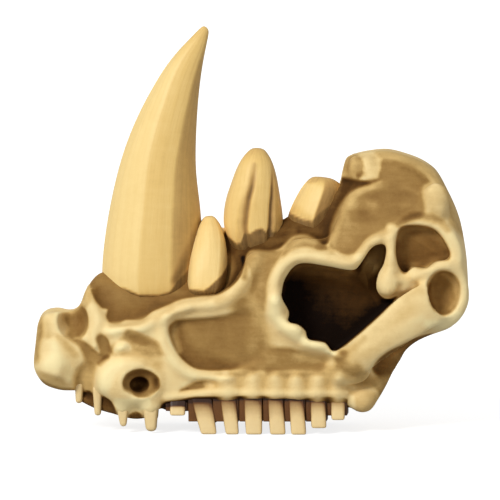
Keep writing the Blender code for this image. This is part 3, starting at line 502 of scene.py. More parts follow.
# Stains of the cranium together with painted light and shade, painted one over the other:
# painted highlights on lit bone, painted shade in hollows, recesses and under overhangs.
# Each has an outline, how dark it is from 0 (palest bone) to 1 (darkest hollow), and the
# width of its edge. A band of painted highlight has a centre line of (u, v, radius) and its tone.
BONE_TONE = 0.23
BONE_STAINS_AND_PAINTED_SHADING = {
    "snout": ((
        (38, 318), (48, 312), (60, 312), (66, 336), (82, 352), (84, 366), (76, 374), (74, 388),
        (58, 390), (44, 382), (32, 368), (38, 342),
    ), 0.24, 6),
    "snout_edge": ((
        (36, 312), (44, 312), (45, 322), (44, 336), (42, 350), (40, 362), (32, 364), (34, 340),
    ), 0.42, 6),
    "snout_light": ((
        (42, 344), (50, 336), (58, 343), (64, 355), (63, 366), (52, 370), (43, 364),
    ), 0.04, 10),
    "snout_top_light": ((
        (44, 318), (50, 315), (54, 322), (54, 334), (48, 338), (45, 328),
    ), 0.20, 6),
    "snout_right": ((
        (57, 320), (62, 333), (72, 345), (80, 357), (82, 366), (75, 374), (74, 386), (67, 386),
        (70, 370), (67, 354), (58, 338),
    ), 0.25, 8),
    "snout_below": ((
        (38, 370), (50, 373), (62, 377), (71, 384), (60, 389), (46, 384), (38, 376),
    ), 0.40, 6),
    "snout_foot": ((
        (40, 378), (50, 383), (62, 387), (75, 388), (75, 396), (58, 398), (42, 390),
    ), 0.56, 3),
    "strut": ((
        (84, 308), (88, 297), (93, 300), (98, 306), (105, 311), (106, 318), (110, 326), (104, 332),
        (97, 335), (97, 344), (98, 352), (92, 347), (85, 340), (90, 330), (90, 320), (87, 312),
    ), 0.22, 6),
    "strut_top": (((80, 308), (83, 295), (89, 284), (91, 291), (92, 300), (87, 308)), 0.40, 5),
    "nose_opening": (NOSE_OPENING, 0.45, 3),
    "nose_depth": ((
        (75, 309, 6), (75, 324, 8), (79, 338, 4), (85, 335), (89, 326), (89, 316), (85, 308),
    ), 0.55, 3),
    "snout_channel": (SNOUT_CHANNEL, 0.39, 4),
    "channel_top": (CHANNEL_TOP, 0.49, 4),
    "maxilla": ((
        (104, 328), (118, 325), (130, 322), (150, 314), (168, 307), (166, 328), (162, 342),
        (150, 350), (130, 352), (112, 350), (110, 338),
    ), 0.08, 8),
    "maxilla_shade": ((
        (127, 327), (142, 333), (154, 338), (166, 346), (164, 356), (146, 353), (130, 350),
        (116, 353), (108, 358), (110, 348), (120, 340),
    ), 0.44, 8),
    "facial_slot": (FACIAL_SLOT, 0.50, 3),
    "facial_groove": (FACIAL_GROOVE, 0.42, 3),
    "facial_groove_depth": (((131, 335), (141, 336), (151, 342), (143, 345), (133, 341)), 0.52, 5),
    "cheek_knob": ((
        (114, 349), (117, 342), (124, 340), (131, 344), (132, 350), (124, 353), (117, 353),
    ), 0.14, 5),
    "boss": ((
        (95, 388, 6), (96.5, 374, 5), (103, 362, 5), (115, 355, 5), (130, 353.5, 5), (148, 357, 6),
        (162, 365, 8), (169, 378, 9), (168, 392, 8), (160, 404, 5), (150, 412), (134, 412),
        (118, 411), (106, 402), (97, 396),
    ), 0.21, 5),
    "boss_light": ((
        (97.5, 380), (102, 368), (111, 360), (123, 358), (124, 366), (116, 374), (113, 386),
        (106, 394), (98, 392),
    ), 0.06, 8),
    "boss_shade": ((
        (113, 386), (121, 372), (126, 390), (136, 398), (128, 404), (114, 400),
    ), 0.28, 8),
    "behind_boss": ((
        (163, 356), (172, 360), (184, 374), (180, 392), (168, 398), (164, 386), (166, 370),
    ), 0.15, 8),
    "cheek_shade": ((
        (232, 306), (246, 292), (258, 288), (264, 300), (262, 320), (266, 336), (258, 350),
        (244, 346), (236, 330),
    ), 0.53, 14),
    "fossa": (FOSSA, 0.555, 4),
    "under_rim": (UNDER_RIM, 0.51, 7),
    "fossa_depth": (FOSSA_DEPTH, 0.62, 9),
    "fossa_floor_groove": (FOSSA_FLOOR_GROOVE, 0.64, 5),
    "front_brow": ((
        (246, 258, 4), (251, 250, 4), (262, 248.5, 4), (276, 250, 5), (284, 250, 6), (276, 264, 5),
        (268, 280, 5), (266, 296, 5), (262, 312, 10), (254, 316, 12), (250, 300, 8), (251, 284, 6),
        (250, 270, 4),
    ), 0.50, 6),
    "brow": ((
        (283, 250), (289, 240), (298, 234.5), (310, 234.5), (320, 240), (327, 249), (318, 250),
        (305, 247), (292, 250), (283, 258),
    ), 0.48, 5),
    "temple": (TEMPLE, 0.52, 6),
    "temple_depth": (TEMPLE_DEPTH, 0.59, 14),
    "crest_roof": ((
        (372, 150), (392, 147), (414, 152), (437, 165), (453, 190), (460, 214), (450, 214),
        (440, 191), (424, 175), (404, 166), (384, 163),
    ), 0.44, 6),
    "crest_band": (CREST_BAND, 0.57, 6),
    "crest_rear": ((
        (446, 195), (456, 198), (464, 222), (466, 240), (455, 233), (447, 225), (446, 210),
    ), 0.42, 6),
    "crest_front": ((
        (343, 154), (356, 152), (363, 162), (362, 174), (356, 183), (343, 186),
    ), 0.50, 4),
    "crest_back": ((
        (357, 154), (367, 151), (376, 157), (380, 168), (375, 177), (368, 181), (364, 174),
        (365, 164),
    ), 0.30, 4),
    "temple_knob": ((
        (421, 188), (430, 183), (439, 190), (445, 204), (446, 216), (440, 223), (430, 216),
        (423, 204),
    ), 0.33, 6),
    "below_arch_root": ((
        (345, 372), (360, 368), (372, 374), (377, 386), (368, 389), (354, 386), (345, 380),
    ), 0.42, 6),
    # Painted shadow under the arch.
    "under_arch": (UNDER_ARCH, 0.69, 3),
    "jaw_angle": ((
        (374, 376), (390, 374), (392, 384), (386, 400), (378, 404), (377, 392), (372, 384),
    ), 0.54, 6),
    "arch_root": ((
        (334, 354), (344, 350), (356, 358), (362, 370), (352, 376), (338, 368),
    ), 0.53, 8),
    "rear_knob": ((
        (348, 400), (352, 390), (364, 386), (376, 392), (378, 402), (368, 412), (354, 412),
    ), 0.40, 5),
    "gum": (((214, 374), (260, 372), (345, 373), (350, 388), (346, 398), (216, 398)), 0.34, 7),
    # Painted shade in the recess under the gum, round and between the cheek teeth.
    "tooth_recess": ((
        (160, 413, 2), (161, 406, 3), (167, 401, 3), (180, 399.5, 3), (195, 396, 3),
        (230, 395.5, 2), (260, 394.5, 2), (285, 397.5, 2), (300, 398, 2), (322, 396, 2),
        (344, 397, 2), (347, 404, 2), (346, 430), (160, 430),
    ), 0.90, 2),
    # Painted shade between the front teeth.
    "front_recess_1": (((83.5, 392), (93, 393), (95, 412), (82, 412)), 0.80, 2),
    "front_recess_2": ((
        (101.5, 397.5), (107.5, 397), (113, 402), (116.5, 410), (117, 420), (100, 420),
    ), 0.77, 3),
    "front_recess_3": ((
        (128.5, 419), (131, 413), (136, 410.5), (141, 413), (144.5, 419), (144, 428), (129, 428),
    ), 0.77, 3),
    "trough": (TROUGH, 0.63, 3),
    "deep_trough": (DEEP_TROUGH, 0.79, 5),
    "rear_hollow": (REAR_HOLLOW, 0.54, 3),
    "rear_hollow_depth": ((
        (404, 240), (418, 234), (432, 240), (438, 250), (428, 258), (412, 258),
    ), 0.68, 10),
    "lower_hollow": (LOWER_HOLLOW, 0.48, 3),
    "cheek_hole": (CHEEK_HOLE, 0.60, 2.5),
    "cheek_hole_depth": ((
        (129, 384), (133, 377), (141, 375), (149, 380), (148, 387), (142, 392), (134, 391),
    ), 0.72, 9),
}
# Painted highlight on the swell over each cheek tooth's root.
ROOT_SWELL_HIGHLIGHT_TONE = 0.25
# Bands of painted highlight along ridges and rims: a centre line of (u, v, radius) and its tone.
PAINTED_HIGHLIGHT_BANDS = {
    "ridge_front": ((
        (112, 325, 5), (135, 324, 7), (152, 319, 8), (170, 310, 8), (188, 304, 8),
    ), 0.29),
    "ridge_middle": (((178, 306, 8), (196, 303, 8), (210, 302, 8), (222, 299, 7)), 0.24),
    "ridge_back": (((218, 301, 7), (229, 298, 7), (240, 290, 8), (248, 279, 7)), 0.36),
    "fossa_rim": ((
        (166, 316, 5), (163, 332, 6), (166, 347, 7), (174, 361, 8), (187, 373, 8), (204, 376, 6),
        (222, 377, 5),
    ), 0.12),
    "gum_line": ((
        (180, 392, 3), (200, 390, 4), (230, 390, 5), (290, 392, 5), (318, 391, 4), (346, 391, 3),
    ), 0.22),
    "orbital_rim": ((
        (361, 252, 7), (350, 262, 7), (326, 257, 8), (306, 255, 8), (292, 258, 8), (281, 267, 8),
        (275, 280, 8), (274, 294, 8),
    ), 0.22),
    "orbital_rim_back": (((388, 232, 7), (378, 236, 7), (369, 241, 7), (361, 252, 7)), 0.36),
    "orbit_lobes": ((
        (275, 300, 10), (275, 316, 12), (286, 328, 12), (300, 336, 10), (316, 344, 8),
        (332, 351, 6),
    ), 0.02),
    "hollow_bridge": (((389, 228, 7), (389, 244, 7), (389, 262, 7)), 0.27),
    "drop": (((387, 268, 9), (386, 283, 14), (387, 288, 12)), 0.25),
    "rear_rim": ((
        (436, 224, 5), (448, 231, 7), (457, 247, 8), (462, 270, 8), (464, 294, 8), (456, 316, 9),
        (438, 326, 9),
    ), 0.19),
    "temple_front": ((
        (332, 245, 6), (335, 226, 7), (344, 206, 7), (356, 193, 6), (372, 187, 5),
    ), 0.46),
    "hollow_ridge": (((400, 282, 8), (414, 276, 8), (430, 267, 6), (446, 265, 6)), 0.26),
    "arch": (((352, 358, 10), (372, 344, 16), (395, 322, 17), (408, 310, 15)), 0.34),
}

# Painted shade inside the cavities cut through the sides: an outline, how dark it is,
# the width of its edge and the distance from the midline that it stops at.
CAVITY_PAINTED_SHADE = (
    (ORBIT, 1.0, 3, 0.092),
    ((
        (286, 268), (300, 262), (330, 264), (356, 268), (370, 246), (386, 243), (386, 262),
        (380, 284), (384, 298), (366, 306), (344, 298), (320, 292), (298, 290),
    ), 0.77, 18, 0.092),
    (((294, 264), (330, 264), (356, 270), (350, 277), (324, 277), (300, 275)), 0.66, 8, 0.092),
    (((362, 262), (372, 244), (386, 242), (386, 262), (378, 272), (366, 272)), 0.34, 10, 0.096),
)
# How much painted shade darkens sheltered bone: the share of rays, within this reach in
# metres, that meet the bone again.
OCCLUSION_SHADE_TONE = 0.36
OCCLUSION_SHADE_RANGE = (0.25, 0.95)
SHELTER_REACH = 0.09
SHELTER_RAYS = 10
RAY_OFFSET = 0.0006
# Bone that stands this far out of its surroundings, in metres, counts as fully raised.
RAISED_HEIGHT = 0.0009
CAVITY_EDGE = 0.004
# How far a face has to turn away from the midline for the relief, and for the stains and
# painted light and shade.
RELIEF_FACING = (0.0, 0.4)
STAIN_AND_SHADING_FACING = (-0.15, 0.15)

# Last touches of painted light and shade: centre lines of (u, v, radius), and how much
# darker each makes the piece. A negative number makes it paler, as painted light.
PAINTED_SHADING_TOUCHES = {
    "cranium": (
        (((46, 322, 8), (46, 338, 11), (43, 356, 10)), 0.18),
        (((60, 336, 6), (70, 346, 7), (77, 354, 7)), 0.15),
        (((59, 311, 5), (60, 320, 7), (64, 330, 8)), -0.28),
        (((68, 362, 6), (70, 371, 8), (70, 380, 7)), -0.14),
        (((90, 292, 6), (94, 300, 6)), 0.08),
        (((101, 363, 5), (108, 357, 5)), 0.24),
        (((109, 334, 5), (113, 341, 6), (112, 350, 4)), 0.13),
        (((124, 353, 5), (140, 352, 7), (152, 356, 6)), 0.12),
        (((156, 366, 7), (162, 376, 8), (163, 388, 6)), 0.07),
        (((119, 402, 7), (132, 405, 11), (147, 402, 7)), -0.40),
        (((136, 383, 11), (144, 384, 11)), -0.30),
        (((157, 378, 5), (158, 386, 5)), 0.12),
        (((126, 376, 4), (128, 386, 4)), -0.08),
        (((140, 360, 9), (158, 364, 9)), 0.09),
        (((158, 322, 8), (164, 338, 7), (166, 352, 7)), 0.08),
        (((186, 384, 6), (200, 383, 7), (212, 384, 5)), -0.16),
        (((164, 402, 6), (174, 402, 6), (184, 400, 4)), 0.22),
        (((174, 326, 8), (174, 338, 8), (179, 350, 6)), -0.22),
        (((200, 375, 5), (220, 373, 5)), 0.07),
        (((232, 371, 7), (252, 371, 7)), 0.17),
        (((268, 371, 6), (293, 373, 6), (312, 371, 6), (334, 368, 7)), 0.16),
        (((248, 296, 9), (254, 312, 12), (256, 330, 14), (252, 346, 10)), -0.07),
        (((262, 262, 7), (262, 284, 7)), -0.06),
        (((296, 355, 6), (312, 358, 7), (326, 361, 6)), -0.12),
        (((228, 256, 6), (230, 268, 8), (224, 283, 7)), -0.20),
        (((243, 258, 4), (246, 268, 5), (244, 277, 5)), 0.28),
        (((268, 244, 6), (284, 241, 6), (294, 233, 5)), -0.07),
        (((303, 230, 4), (320, 233, 6)), -0.06),
        (((318, 247, 6), (327, 247, 7), (331, 252, 5)), 0.14),
        (((328, 258, 6), (340, 261, 6), (352, 261, 6)), 0.08),
        ((
            (283, 296, 5), (286, 280, 5), (294, 268, 5), (306, 264, 5), (326, 266, 5),
            (350, 270, 5),
        ), -0.14),
        (((352, 206, 8), (362, 204, 11), (372, 206, 8)), -0.12),
        (((402, 206, 8), (412, 204, 9)), -0.08),
        (((400, 168, 4), (414, 173, 5), (428, 184, 6)), 0.04),
        (((358, 176, 4), (362, 175, 5)), 0.20),
        (((398, 226, 6), (408, 219, 7), (420, 217, 7), (434, 221, 7), (446, 230, 6)), 0.25),
        (((397, 238, 5), (404, 230, 5), (420, 228, 5), (436, 232, 5), (446, 246, 5)), -0.10),
        (((396, 286, 8), (409, 284, 7)), -0.20),
        (((443, 274, 6), (452, 281, 5), (455, 296, 5), (450, 308, 5)), -0.10),
        (((428, 285, 4), (428, 298, 4), (432, 309, 4)), 0.12),
        (((426, 323, 7), (440, 325, 9), (455, 317, 9)), -0.26),
        (((342, 350, 6), (352, 346, 7), (362, 338, 6)), 0.14),
        (((346, 384, 6), (357, 388, 7), (370, 388, 6)), -0.10),
        (((374, 362, 6), (372, 374, 7), (378, 384, 6)), -0.10),
        (((360, 345, 8), (380, 336, 9), (400, 326, 9), (418, 318, 7)), -0.08),
        (((404, 296, 8), (414, 290, 8), (422, 292, 6)), 0.10),
        (((351, 397, 5), (352, 406, 5)), -0.25),
    ),
    "nasal_horn": (
        (((200, 222, 5), (195, 240, 8), (190, 254, 10), (183, 268, 9), (176, 280, 7)), 0.32),
    ),
    "third_horn": ((((286, 206, 9), (302, 215, 9), (310, 220, 5)), 0.22),),
    "frontal_horn": (
        (((254, 165, 4), (250, 185, 6), (244, 205, 7), (241, 225, 8), (240, 240, 6)), 0.26),
    ),
}
# The distances from the midline between which blurring sets in, in metres.
SOFT_FROM = (0.030, 0.052)
BONE_FACES_LIMIT = 97000


def place(u, v, y=0.0, side=-1):
    """The point that the side view shows at (u, v), at this distance from the midline."""
    z = ((VIEW_BASE - v) * UNIT + y * math.sin(VIEW_TILT)) / math.cos(VIEW_TILT)
    return Vector(((u - VIEW_MIDDLE) * UNIT, side * y, z))


def side_view(points):
    """u and v of each point, as the side view of its own side shows it."""
    rise = points[:, 2] * math.cos(VIEW_TILT) - np.abs(points[:, 1]) * math.sin(VIEW_TILT)
    return points[:, 0] / UNIT + VIEW_MIDDLE, VIEW_BASE - rise / UNIT


def smooth_step(low, high, value):
    """0 below low, 1 above high, and eased between them."""
    t = np.clip((value - low) / (high - low), 0, 1)
    return t * t * (3 - 2 * t)


def deselect_all():
    if bpy.context.object and bpy.context.object.mode != "OBJECT":
        bpy.ops.object.mode_set(mode="OBJECT")
    bpy.ops.object.select_all(action="DESELECT")


def activate(obj):
    """Selects the object alone and makes it the active one."""
    deselect_all()
    obj.select_set(True)
    bpy.context.view_layer.objects.active = obj


def object_of(name, shape):
    """A new object from a bmesh, its faces pointing out."""
    bmesh.ops.recalc_face_normals(shape, faces=shape.faces)
    mesh = bpy.data.meshes.new(name)
    shape.to_mesh(mesh)
    shape.free()
    obj = bpy.data.objects.new(name, mesh)
    bpy.context.scene.collection.objects.link(obj)
    return obj


def apply_modifier(obj, kind, **settings):
    """Adds a modifier with these settings and applies it."""
    activate(obj)
    modifier = obj.modifiers.new(kind.title(), kind)
    for name, value in settings.items():
        setattr(modifier, name, value)
    bpy.ops.object.modifier_apply(modifier=modifier.name)


def loft(shape, rings):
    """Skins rings of equally many points and closes both ends, in an open bmesh."""
    made = [[shape.verts.new(point) for point in ring] for ring in rings]
    count = len(made[0])
    for near, far in zip(made, made[1:]):
        for i in range(count):
            shape.faces.new((near[i], near[(i + 1) % count], far[(i + 1) % count], far[i]))
    shape.faces.new(reversed(made[0]))
    shape.faces.new(made[-1])


def steady_slopes(xs, ys):
    """Slopes of a smooth curve through the points that never overshoots them."""
    steps = np.diff(ys) / np.diff(xs)
    slopes = np.concatenate(([steps[0]], np.zeros(len(xs) - 2), [steps[-1]]))
    for i in range(1, len(xs) - 1):
        if steps[i - 1] * steps[i] > 0:
            slopes[i] = 2 * steps[i - 1] * steps[i] / (steps[i - 1] + steps[i])
    return slopes


def along(line, u):
    """(v, distance from the midline) of a cranium line at u."""
    us = np.array([point[0] for point in line], float)
    i = int(np.clip(np.searchsorted(us, u) - 1, 0, len(us) - 2))
    width = us[i + 1] - us[i]
    t = min(max((u - us[i]) / width, 0), 1)
    found = []
    for axis in (1, 2):
        values = np.array([point[axis] for point in line], float)
        slopes = steady_slopes(us, values)
        found.append(
            (2 * t**3 - 3 * t**2 + 1) * values[i]
            + (t**3 - 2 * t**2 + t) * width * slopes[i]
            + (3 * t**2 - 2 * t**3) * values[i + 1]
            + (t**3 - t**2) * width * slopes[i + 1]
        )
    return found


def smooth_path(points, steps, closed=False):
    """Catmull-Rom points through the given ones, each a sequence of numbers."""
    given = [np.array(point, float) for point in points]
    count = len(given)
    path = []
    for i in range(count if closed else count - 1):
        if closed:
            a, b, c, d = (given[(i + k) % count] for k in (-1, 0, 1, 2))
        else:
            a, b, c, d = (given[min(max(i + k, 0), count - 1)] for k in (-1, 0, 1, 2))
        for step in range(steps):
            t = step / steps
            path.append(
                0.5 * (2 * b + (c - a) * t + (2 * a - 5 * b + 4 * c - d) * t**2
                       + (3 * b - a - 3 * c + d) * t**3)
            )
    if not closed:
        path.append(given[-1])
    return path


def cover(u, v, outline, edge):
    """1 inside a smoothed outline and 0 outside it, easing across the width of its edge."""
    given = [(*spot[:2], spot[2] if len(spot) > 2 else edge) for spot in outline]
    corners = smooth_path(given, 3, closed=True)
    margin = max(corner[2] for corner in corners)
    low, high = np.min(corners, axis=0) - margin, np.max(corners, axis=0) + margin
    close = (u > low[0]) & (u < high[0]) & (v > low[1]) & (v < high[1])
    x, y = u[close], v[close]
    nearest = np.full(len(x), np.inf)
    inside = np.zeros(len(x), bool)
    widths, shares = np.zeros(len(x)), np.zeros(len(x))
    for (u0, v0, w0), (u1, v1, w1) in zip(corners, corners[1:] + corners[:1]):
        du, dv = u1 - u0, v1 - v0
        t = np.clip(((x - u0) * du + (y - v0) * dv) / max(du * du + dv * dv, 1e-9), 0, 1)
        away = np.hypot(x - u0 - t * du, y - v0 - t * dv)
        nearest = np.minimum(nearest, away)
        share = 1 / (1 + away**2) ** 2
        widths += share * (w0 + t * (w1 - w0))
        shares += share
        if v0 != v1:
            inside ^= ((v0 > y) != (v1 > y)) & (x < u0 + (y - v0) * du / dv)
    width = np.maximum(widths / shares, 0.5)
    found = np.zeros(len(u))
    found[close] = smooth_step(-width / 2, width / 2, np.where(inside, nearest, -nearest))
    return found


def band_weight(u, v, centres):
    """1 on a centre line of (u, v, radius) places, easing to 0 at its radius."""
    path = smooth_path(centres, 4)
    weight = np.zeros(len(u))
    for (u0, v0, r0), (u1, v1, r1) in zip(path, path[1:]):
        du, dv = u1 - u0, v1 - v0
        t = np.clip(((u - u0) * du + (v - v0) * dv) / max(du * du + dv * dv, 1e-9), 0, 1)
        away = np.hypot(u - u0 - t * du, v - v0 - t * dv) / (r0 + t * (r1 - r0))
        weight = np.maximum(weight, np.clip(1 - away**2, 0, 1) ** 2)
    return weight


def add_painted_shading_touches(tone, u, v, name):
    """Adds the last touches of painted light and shade of the named piece to its tone."""
    for centres, shift in PAINTED_SHADING_TOUCHES.get(name, ()):
        tone += shift * band_weight(u, v, centres)
    return tone


def mesh_array(items, name, width=3):
    """A mesh's vectors of this name, one row for each."""
    values = np.empty(len(items) * width, np.float32)
    items.foreach_get(name, values)
    return values.reshape(-1, width).astype(float)


def store_points(mesh, points):
    mesh.vertices.foreach_set("co", points.ravel())
    mesh.update()


def outwardness(normals, points, limits):
    """How far each vertex faces away from the midline, eased from 0 to 1."""
    return smooth_step(*limits, normals[:, 1] * np.sign(points[:, 1]))


def body_shape(shape, step=0.003, ring_steps=6):
    """The main body of the cranium, lofted through its lines."""
    first, last = place(FIRST_STATION, 0).x, place(LAST_STATION, 0).x
    count = round((last - first) / step)
    rings = []
    for u in np.linspace(FIRST_STATION, LAST_STATION, count + 1):
        half = [(distance, v) for v, distance in (along(line, u) for line in CRANIUM_LINES)]
        outline = [place(u, v, distance, -1) for distance, v in half]
        outline += [place(u, v, distance, 1) for distance, v in reversed(half[1:-1])]
        rings.append(smooth_path(outline, ring_steps, closed=True))
    loft(shape, rings)


def path_steps(path):
    """Each point of a path, the direction that it takes there, and its other numbers."""
    points = [Vector(item[:3]) for item in path]
    last = len(points) - 1
    for i, point in enumerate(points):
        direction = (points[min(i + 1, last)] - points[max(i - 1, 0)]).normalized()
        yield point, direction, [float(size) for size in path[i][3:]]


def full_turn(sides):
    return [2 * math.pi * k / sides for k in range(sides)]


def ridge_shape(shape, centres, side, sides=16):
    """A round bar along centres of (u, v, distance from the midline, radius)."""
    path = smooth_path([(*place(*item[:3], side), item[3]) for item in centres], 6)
    rings = []
    for point, direction, (radius,) in path_steps(path):
        across = direction.cross(Vector((0, 1, 0))).normalized()
        up = across.cross(direction)
        rings.append([
            point + radius * (math.cos(a) * across + math.sin(a) * up) for a in full_turn(sides)
        ])
    loft(shape, rings)


def ball_shape(shape, centre, half_sizes, segments=32, rings=20):
    made = bmesh.ops.create_uvsphere(shape, u_segments=segments, v_segments=rings, radius=1)
    bmesh.ops.scale(shape, vec=half_sizes, verts=made["verts"])
    bmesh.ops.translate(shape, vec=centre, verts=made["verts"])


def arch_shape(shape, side, sides=24):
    """The zygomatic arch: a flat bar whose height stands across its path in the side view."""
    path = smooth_path([(*place(*item[:3], side), *item[3:]) for item in ARCH], 8)
    rings = []
    for point, direction, (tall, thick) in path_steps(path):
        height = Vector((0, 1, 0)).cross(direction).normalized()
        thickness = direction.cross(height)
        rings.append([
            point + tall * math.cos(a) * height + thick * math.sin(a) * thickness
            for a in full_turn(sides)
        ])
    loft(shape, rings)


def side_cut_shape(shape, outline, start, end, side):
    """A cut through the side, along the line of sight of the side view."""
    line = smooth_path(outline, 6, closed=True)
    loft(shape, [[place(u, v, distance, side) for u, v in line] for distance in (start, end)])


def cranium_forms():
    """All of the cranium's solid forms in one mesh, still overlapping."""
    shape = bmesh.new()
    body_shape(shape)
    for side in SIDES.values():
        for centres in (*RIDGES.values(), SOCKET_RIDGE):
            ridge_shape(shape, centres, side)
        for centre, half_sizes in (*BUMPS.values(), *SOCKETS.values()):
            ball_shape(shape, place(*centre, side), half_sizes)
        arch_shape(shape, side)
    return object_of("cranium_bone", shape)


def cutter(make, cuts, sides):
    """A cutter whose parts are made from the cut's numbers once for each side."""
    shape = bmesh.new()
    for side in sides:
        make(shape, *cuts, side)
    return object_of("cut", shape)


def pit_shape(shape, centre, half_sizes, side):
    ball_shape(shape, place(*centre, side), half_sizes)


def cranium_cuts():
    """One cutter for each pair of hollows, and one for each hollow on the midline."""
    both = tuple(SIDES.values())
    return (
        [cutter(side_cut_shape, cut, both) for cut in SIDE_CUTS.values()]
        + [cutter(pit_shape, pit, both) for pit in PITS.values()]
        + [cutter(pit_shape, pit, both[:1]) for pit in MIDLINE_PITS.values()]
    )


def soften_sides(bone, rounds):
    """Blurs the relief of the sides, and leaves the skull's outline alone."""
    mesh = bone.data
    points = mesh_array(mesh.vertices, "co")
    weight = smooth_step(*SOFT_FROM, np.abs(points[:, 1]))
    points += weight[:, None] * (blurred(points, edge_ends(mesh), rounds) - points)
    store_points(mesh, points)


def root_swells():
    """The centre line of the swell over each cheek tooth's root, as (u, v, radius) places."""
    for gum, _, top, _, _ in CHEEK_TEETH[FIRST_SWOLLEN_ROOT:]:
        yield [(sum(gum) / 2 + du, top + dv, radius) for du, dv, radius in ROOT_SWELL]


def carve(bone):
    """Sinks the hollows and raises the swells of the sides, straight out from the midline."""
    mesh = bone.data
    points = mesh_array(mesh.vertices, "co")
    u, v = side_view(points)
    raised = np.zeros(len(points))
    for outline, *depths, edge in HOLLOWS.values():
        ends = [limit(spot[0] for spot in outline) for limit in (min, max)]
        raised -= np.interp(u, ends, depths) * cover(u, v, outline, edge)
    for centres, height in SWELLS.values():
        raised += height * band_weight(u, v, centres)
    for root in root_swells():
        raised += ROOT_SWELL_HEIGHT * band_weight(u, v, root)
    facing = outwardness(mesh_array(mesh.vertex_normals, "vector"), points, RELIEF_FACING)
    points[:, 1] += np.sign(points[:, 1]) * raised * facing
    store_points(mesh, points)


def neighbour_mean(values, ends, rounds):
    """Each vertex's value averaged with its neighbours', this many times."""
    near, far = ends
    count = len(values)
    share = 1 / (1 + np.bincount(near, minlength=count) + np.bincount(far, minlength=count))
    for _ in range(rounds):
        total = values + np.bincount(near, values[far], count)
        values = (total + np.bincount(far, values[near], count)) * share
    return values


def blurred(points, ends, rounds):
    return np.stack([neighbour_mean(points[:, k], ends, rounds) for k in range(3)], axis=1)


def edge_ends(mesh):
    """The two vertices of every edge, as two rows."""
    ends = np.empty(len(mesh.edges) * 2, np.int32)
    mesh.edges.foreach_get("vertices", ends)
    return ends.reshape(-1, 2).T


def bulge(points, normals, ends, rounds):
    """How far each vertex stands out of its smoothed surroundings, in metres."""
    return np.einsum("ij,ij->i", points - blurred(points, ends, rounds), normals)


def hemisphere(count):
    """Directions spread over the half sphere about +Z, denser near its pole."""
    found = []
    for i in range(count):
        height = math.sqrt((i + 0.5) / count)
        turn = i * math.pi * (3 - math.sqrt(5))
        flat = math.sqrt(1 - height * height)
        found.append((flat * math.cos(turn), flat * math.sin(turn), height))
    return found


def occlusion(mesh, points, normals, reach, rays):
    """The share of rays that meet the piece again within reach, for each vertex."""
    corners = [tuple(face.vertices) for face in mesh.polygons]
    tree = BVHTree.FromPolygons([tuple(p) for p in points], corners)
    directions = hemisphere(rays)
    found = np.zeros(len(points))
    for i, (point, normal) in enumerate(zip(points, normals)):
        up = Vector(normal)
        across = up.orthogonal().normalized()
        third = up.cross(across)
        start = Vector(point) + up * RAY_OFFSET
        met = 0.0
        for a, b, c in directions:
            hit = tree.ray_cast(start, across * a + third * b + up * c, reach)
            if hit[0] is not None:
                met += 1 - hit[3] / reach
        found[i] = met / rays
    return found


def add_attribute(mesh, name, values):
    """Stores one number for each vertex, for the material to read."""
    made = mesh.attributes.new(name, "FLOAT", "POINT")
    made.data.foreach_set("value", np.ascontiguousarray(values, dtype=np.float32))


def stain_and_shade_bone(bone):
    """Stores the bone's tone, from its stains and its painted light and shade, and how
    raised and how sheltered it is, for its material.
    """
    mesh = bone.data
    points = mesh_array(mesh.vertices, "co")
    normals = mesh_array(mesh.vertex_normals, "vector")
    ends = edge_ends(mesh)
    u, v = side_view(points)
    facing = outwardness(normals, points, STAIN_AND_SHADING_FACING)
    sheltered = occlusion(mesh, points, normals, SHELTER_REACH, SHELTER_RAYS)
    sheltered = neighbour_mean(sheltered, ends, 2)
    raised = neighbour_mean(bulge(points, normals, ends, 6), ends, 2) / RAISED_HEIGHT
    tone = np.full(len(points), BONE_TONE)
    # Stains and painted light and shade, one over the other.
    for outline, dark, edge in BONE_STAINS_AND_PAINTED_SHADING.values():
        tone += facing * cover(u, v, outline, edge) * (dark - tone)
    # Painted highlight on the root swells.
    for root in root_swells():
        tone += facing * band_weight(u, v, root) * (ROOT_SWELL_HIGHLIGHT_TONE - tone)
    # Painted highlights along ridges and rims.
    for centres, pale in PAINTED_HIGHLIGHT_BANDS.values():
        tone += facing * band_weight(u, v, centres) * (pale - tone)
    # Painted shade inside the cavities.
    for outline, dark, edge, limit in CAVITY_PAINTED_SHADE:
        deep = 1 - smooth_step(limit - CAVITY_EDGE, limit + CAVITY_EDGE, np.abs(points[:, 1]))
        tone += deep * cover(u, v, outline, edge) * (dark - tone)
    # Last touches of painted light and shade.
    tone += facing * add_painted_shading_touches(np.zeros(len(points)), u, v, "cranium")
    # Painted shade where the bone shelters itself.
    tone += OCCLUSION_SHADE_TONE * smooth_step(*OCCLUSION_SHADE_RANGE, sheltered)
    add_attribute(mesh, "tone", np.clip(tone, 0, 1))
    add_attribute(mesh, "raised", np.clip(0.5 + 0.5 * raised, 0, 1))
    add_attribute(mesh, "sheltered", sheltered)


def fuse(bone, voxel, smoothing):
    """Fuses all that overlaps into one even skin, and smooths it this many times."""
    apply_modifier(bone, "REMESH", mode="VOXEL", voxel_size=voxel)
    apply_modifier(bone, "SMOOTH", factor=0.5, iterations=smoothing)


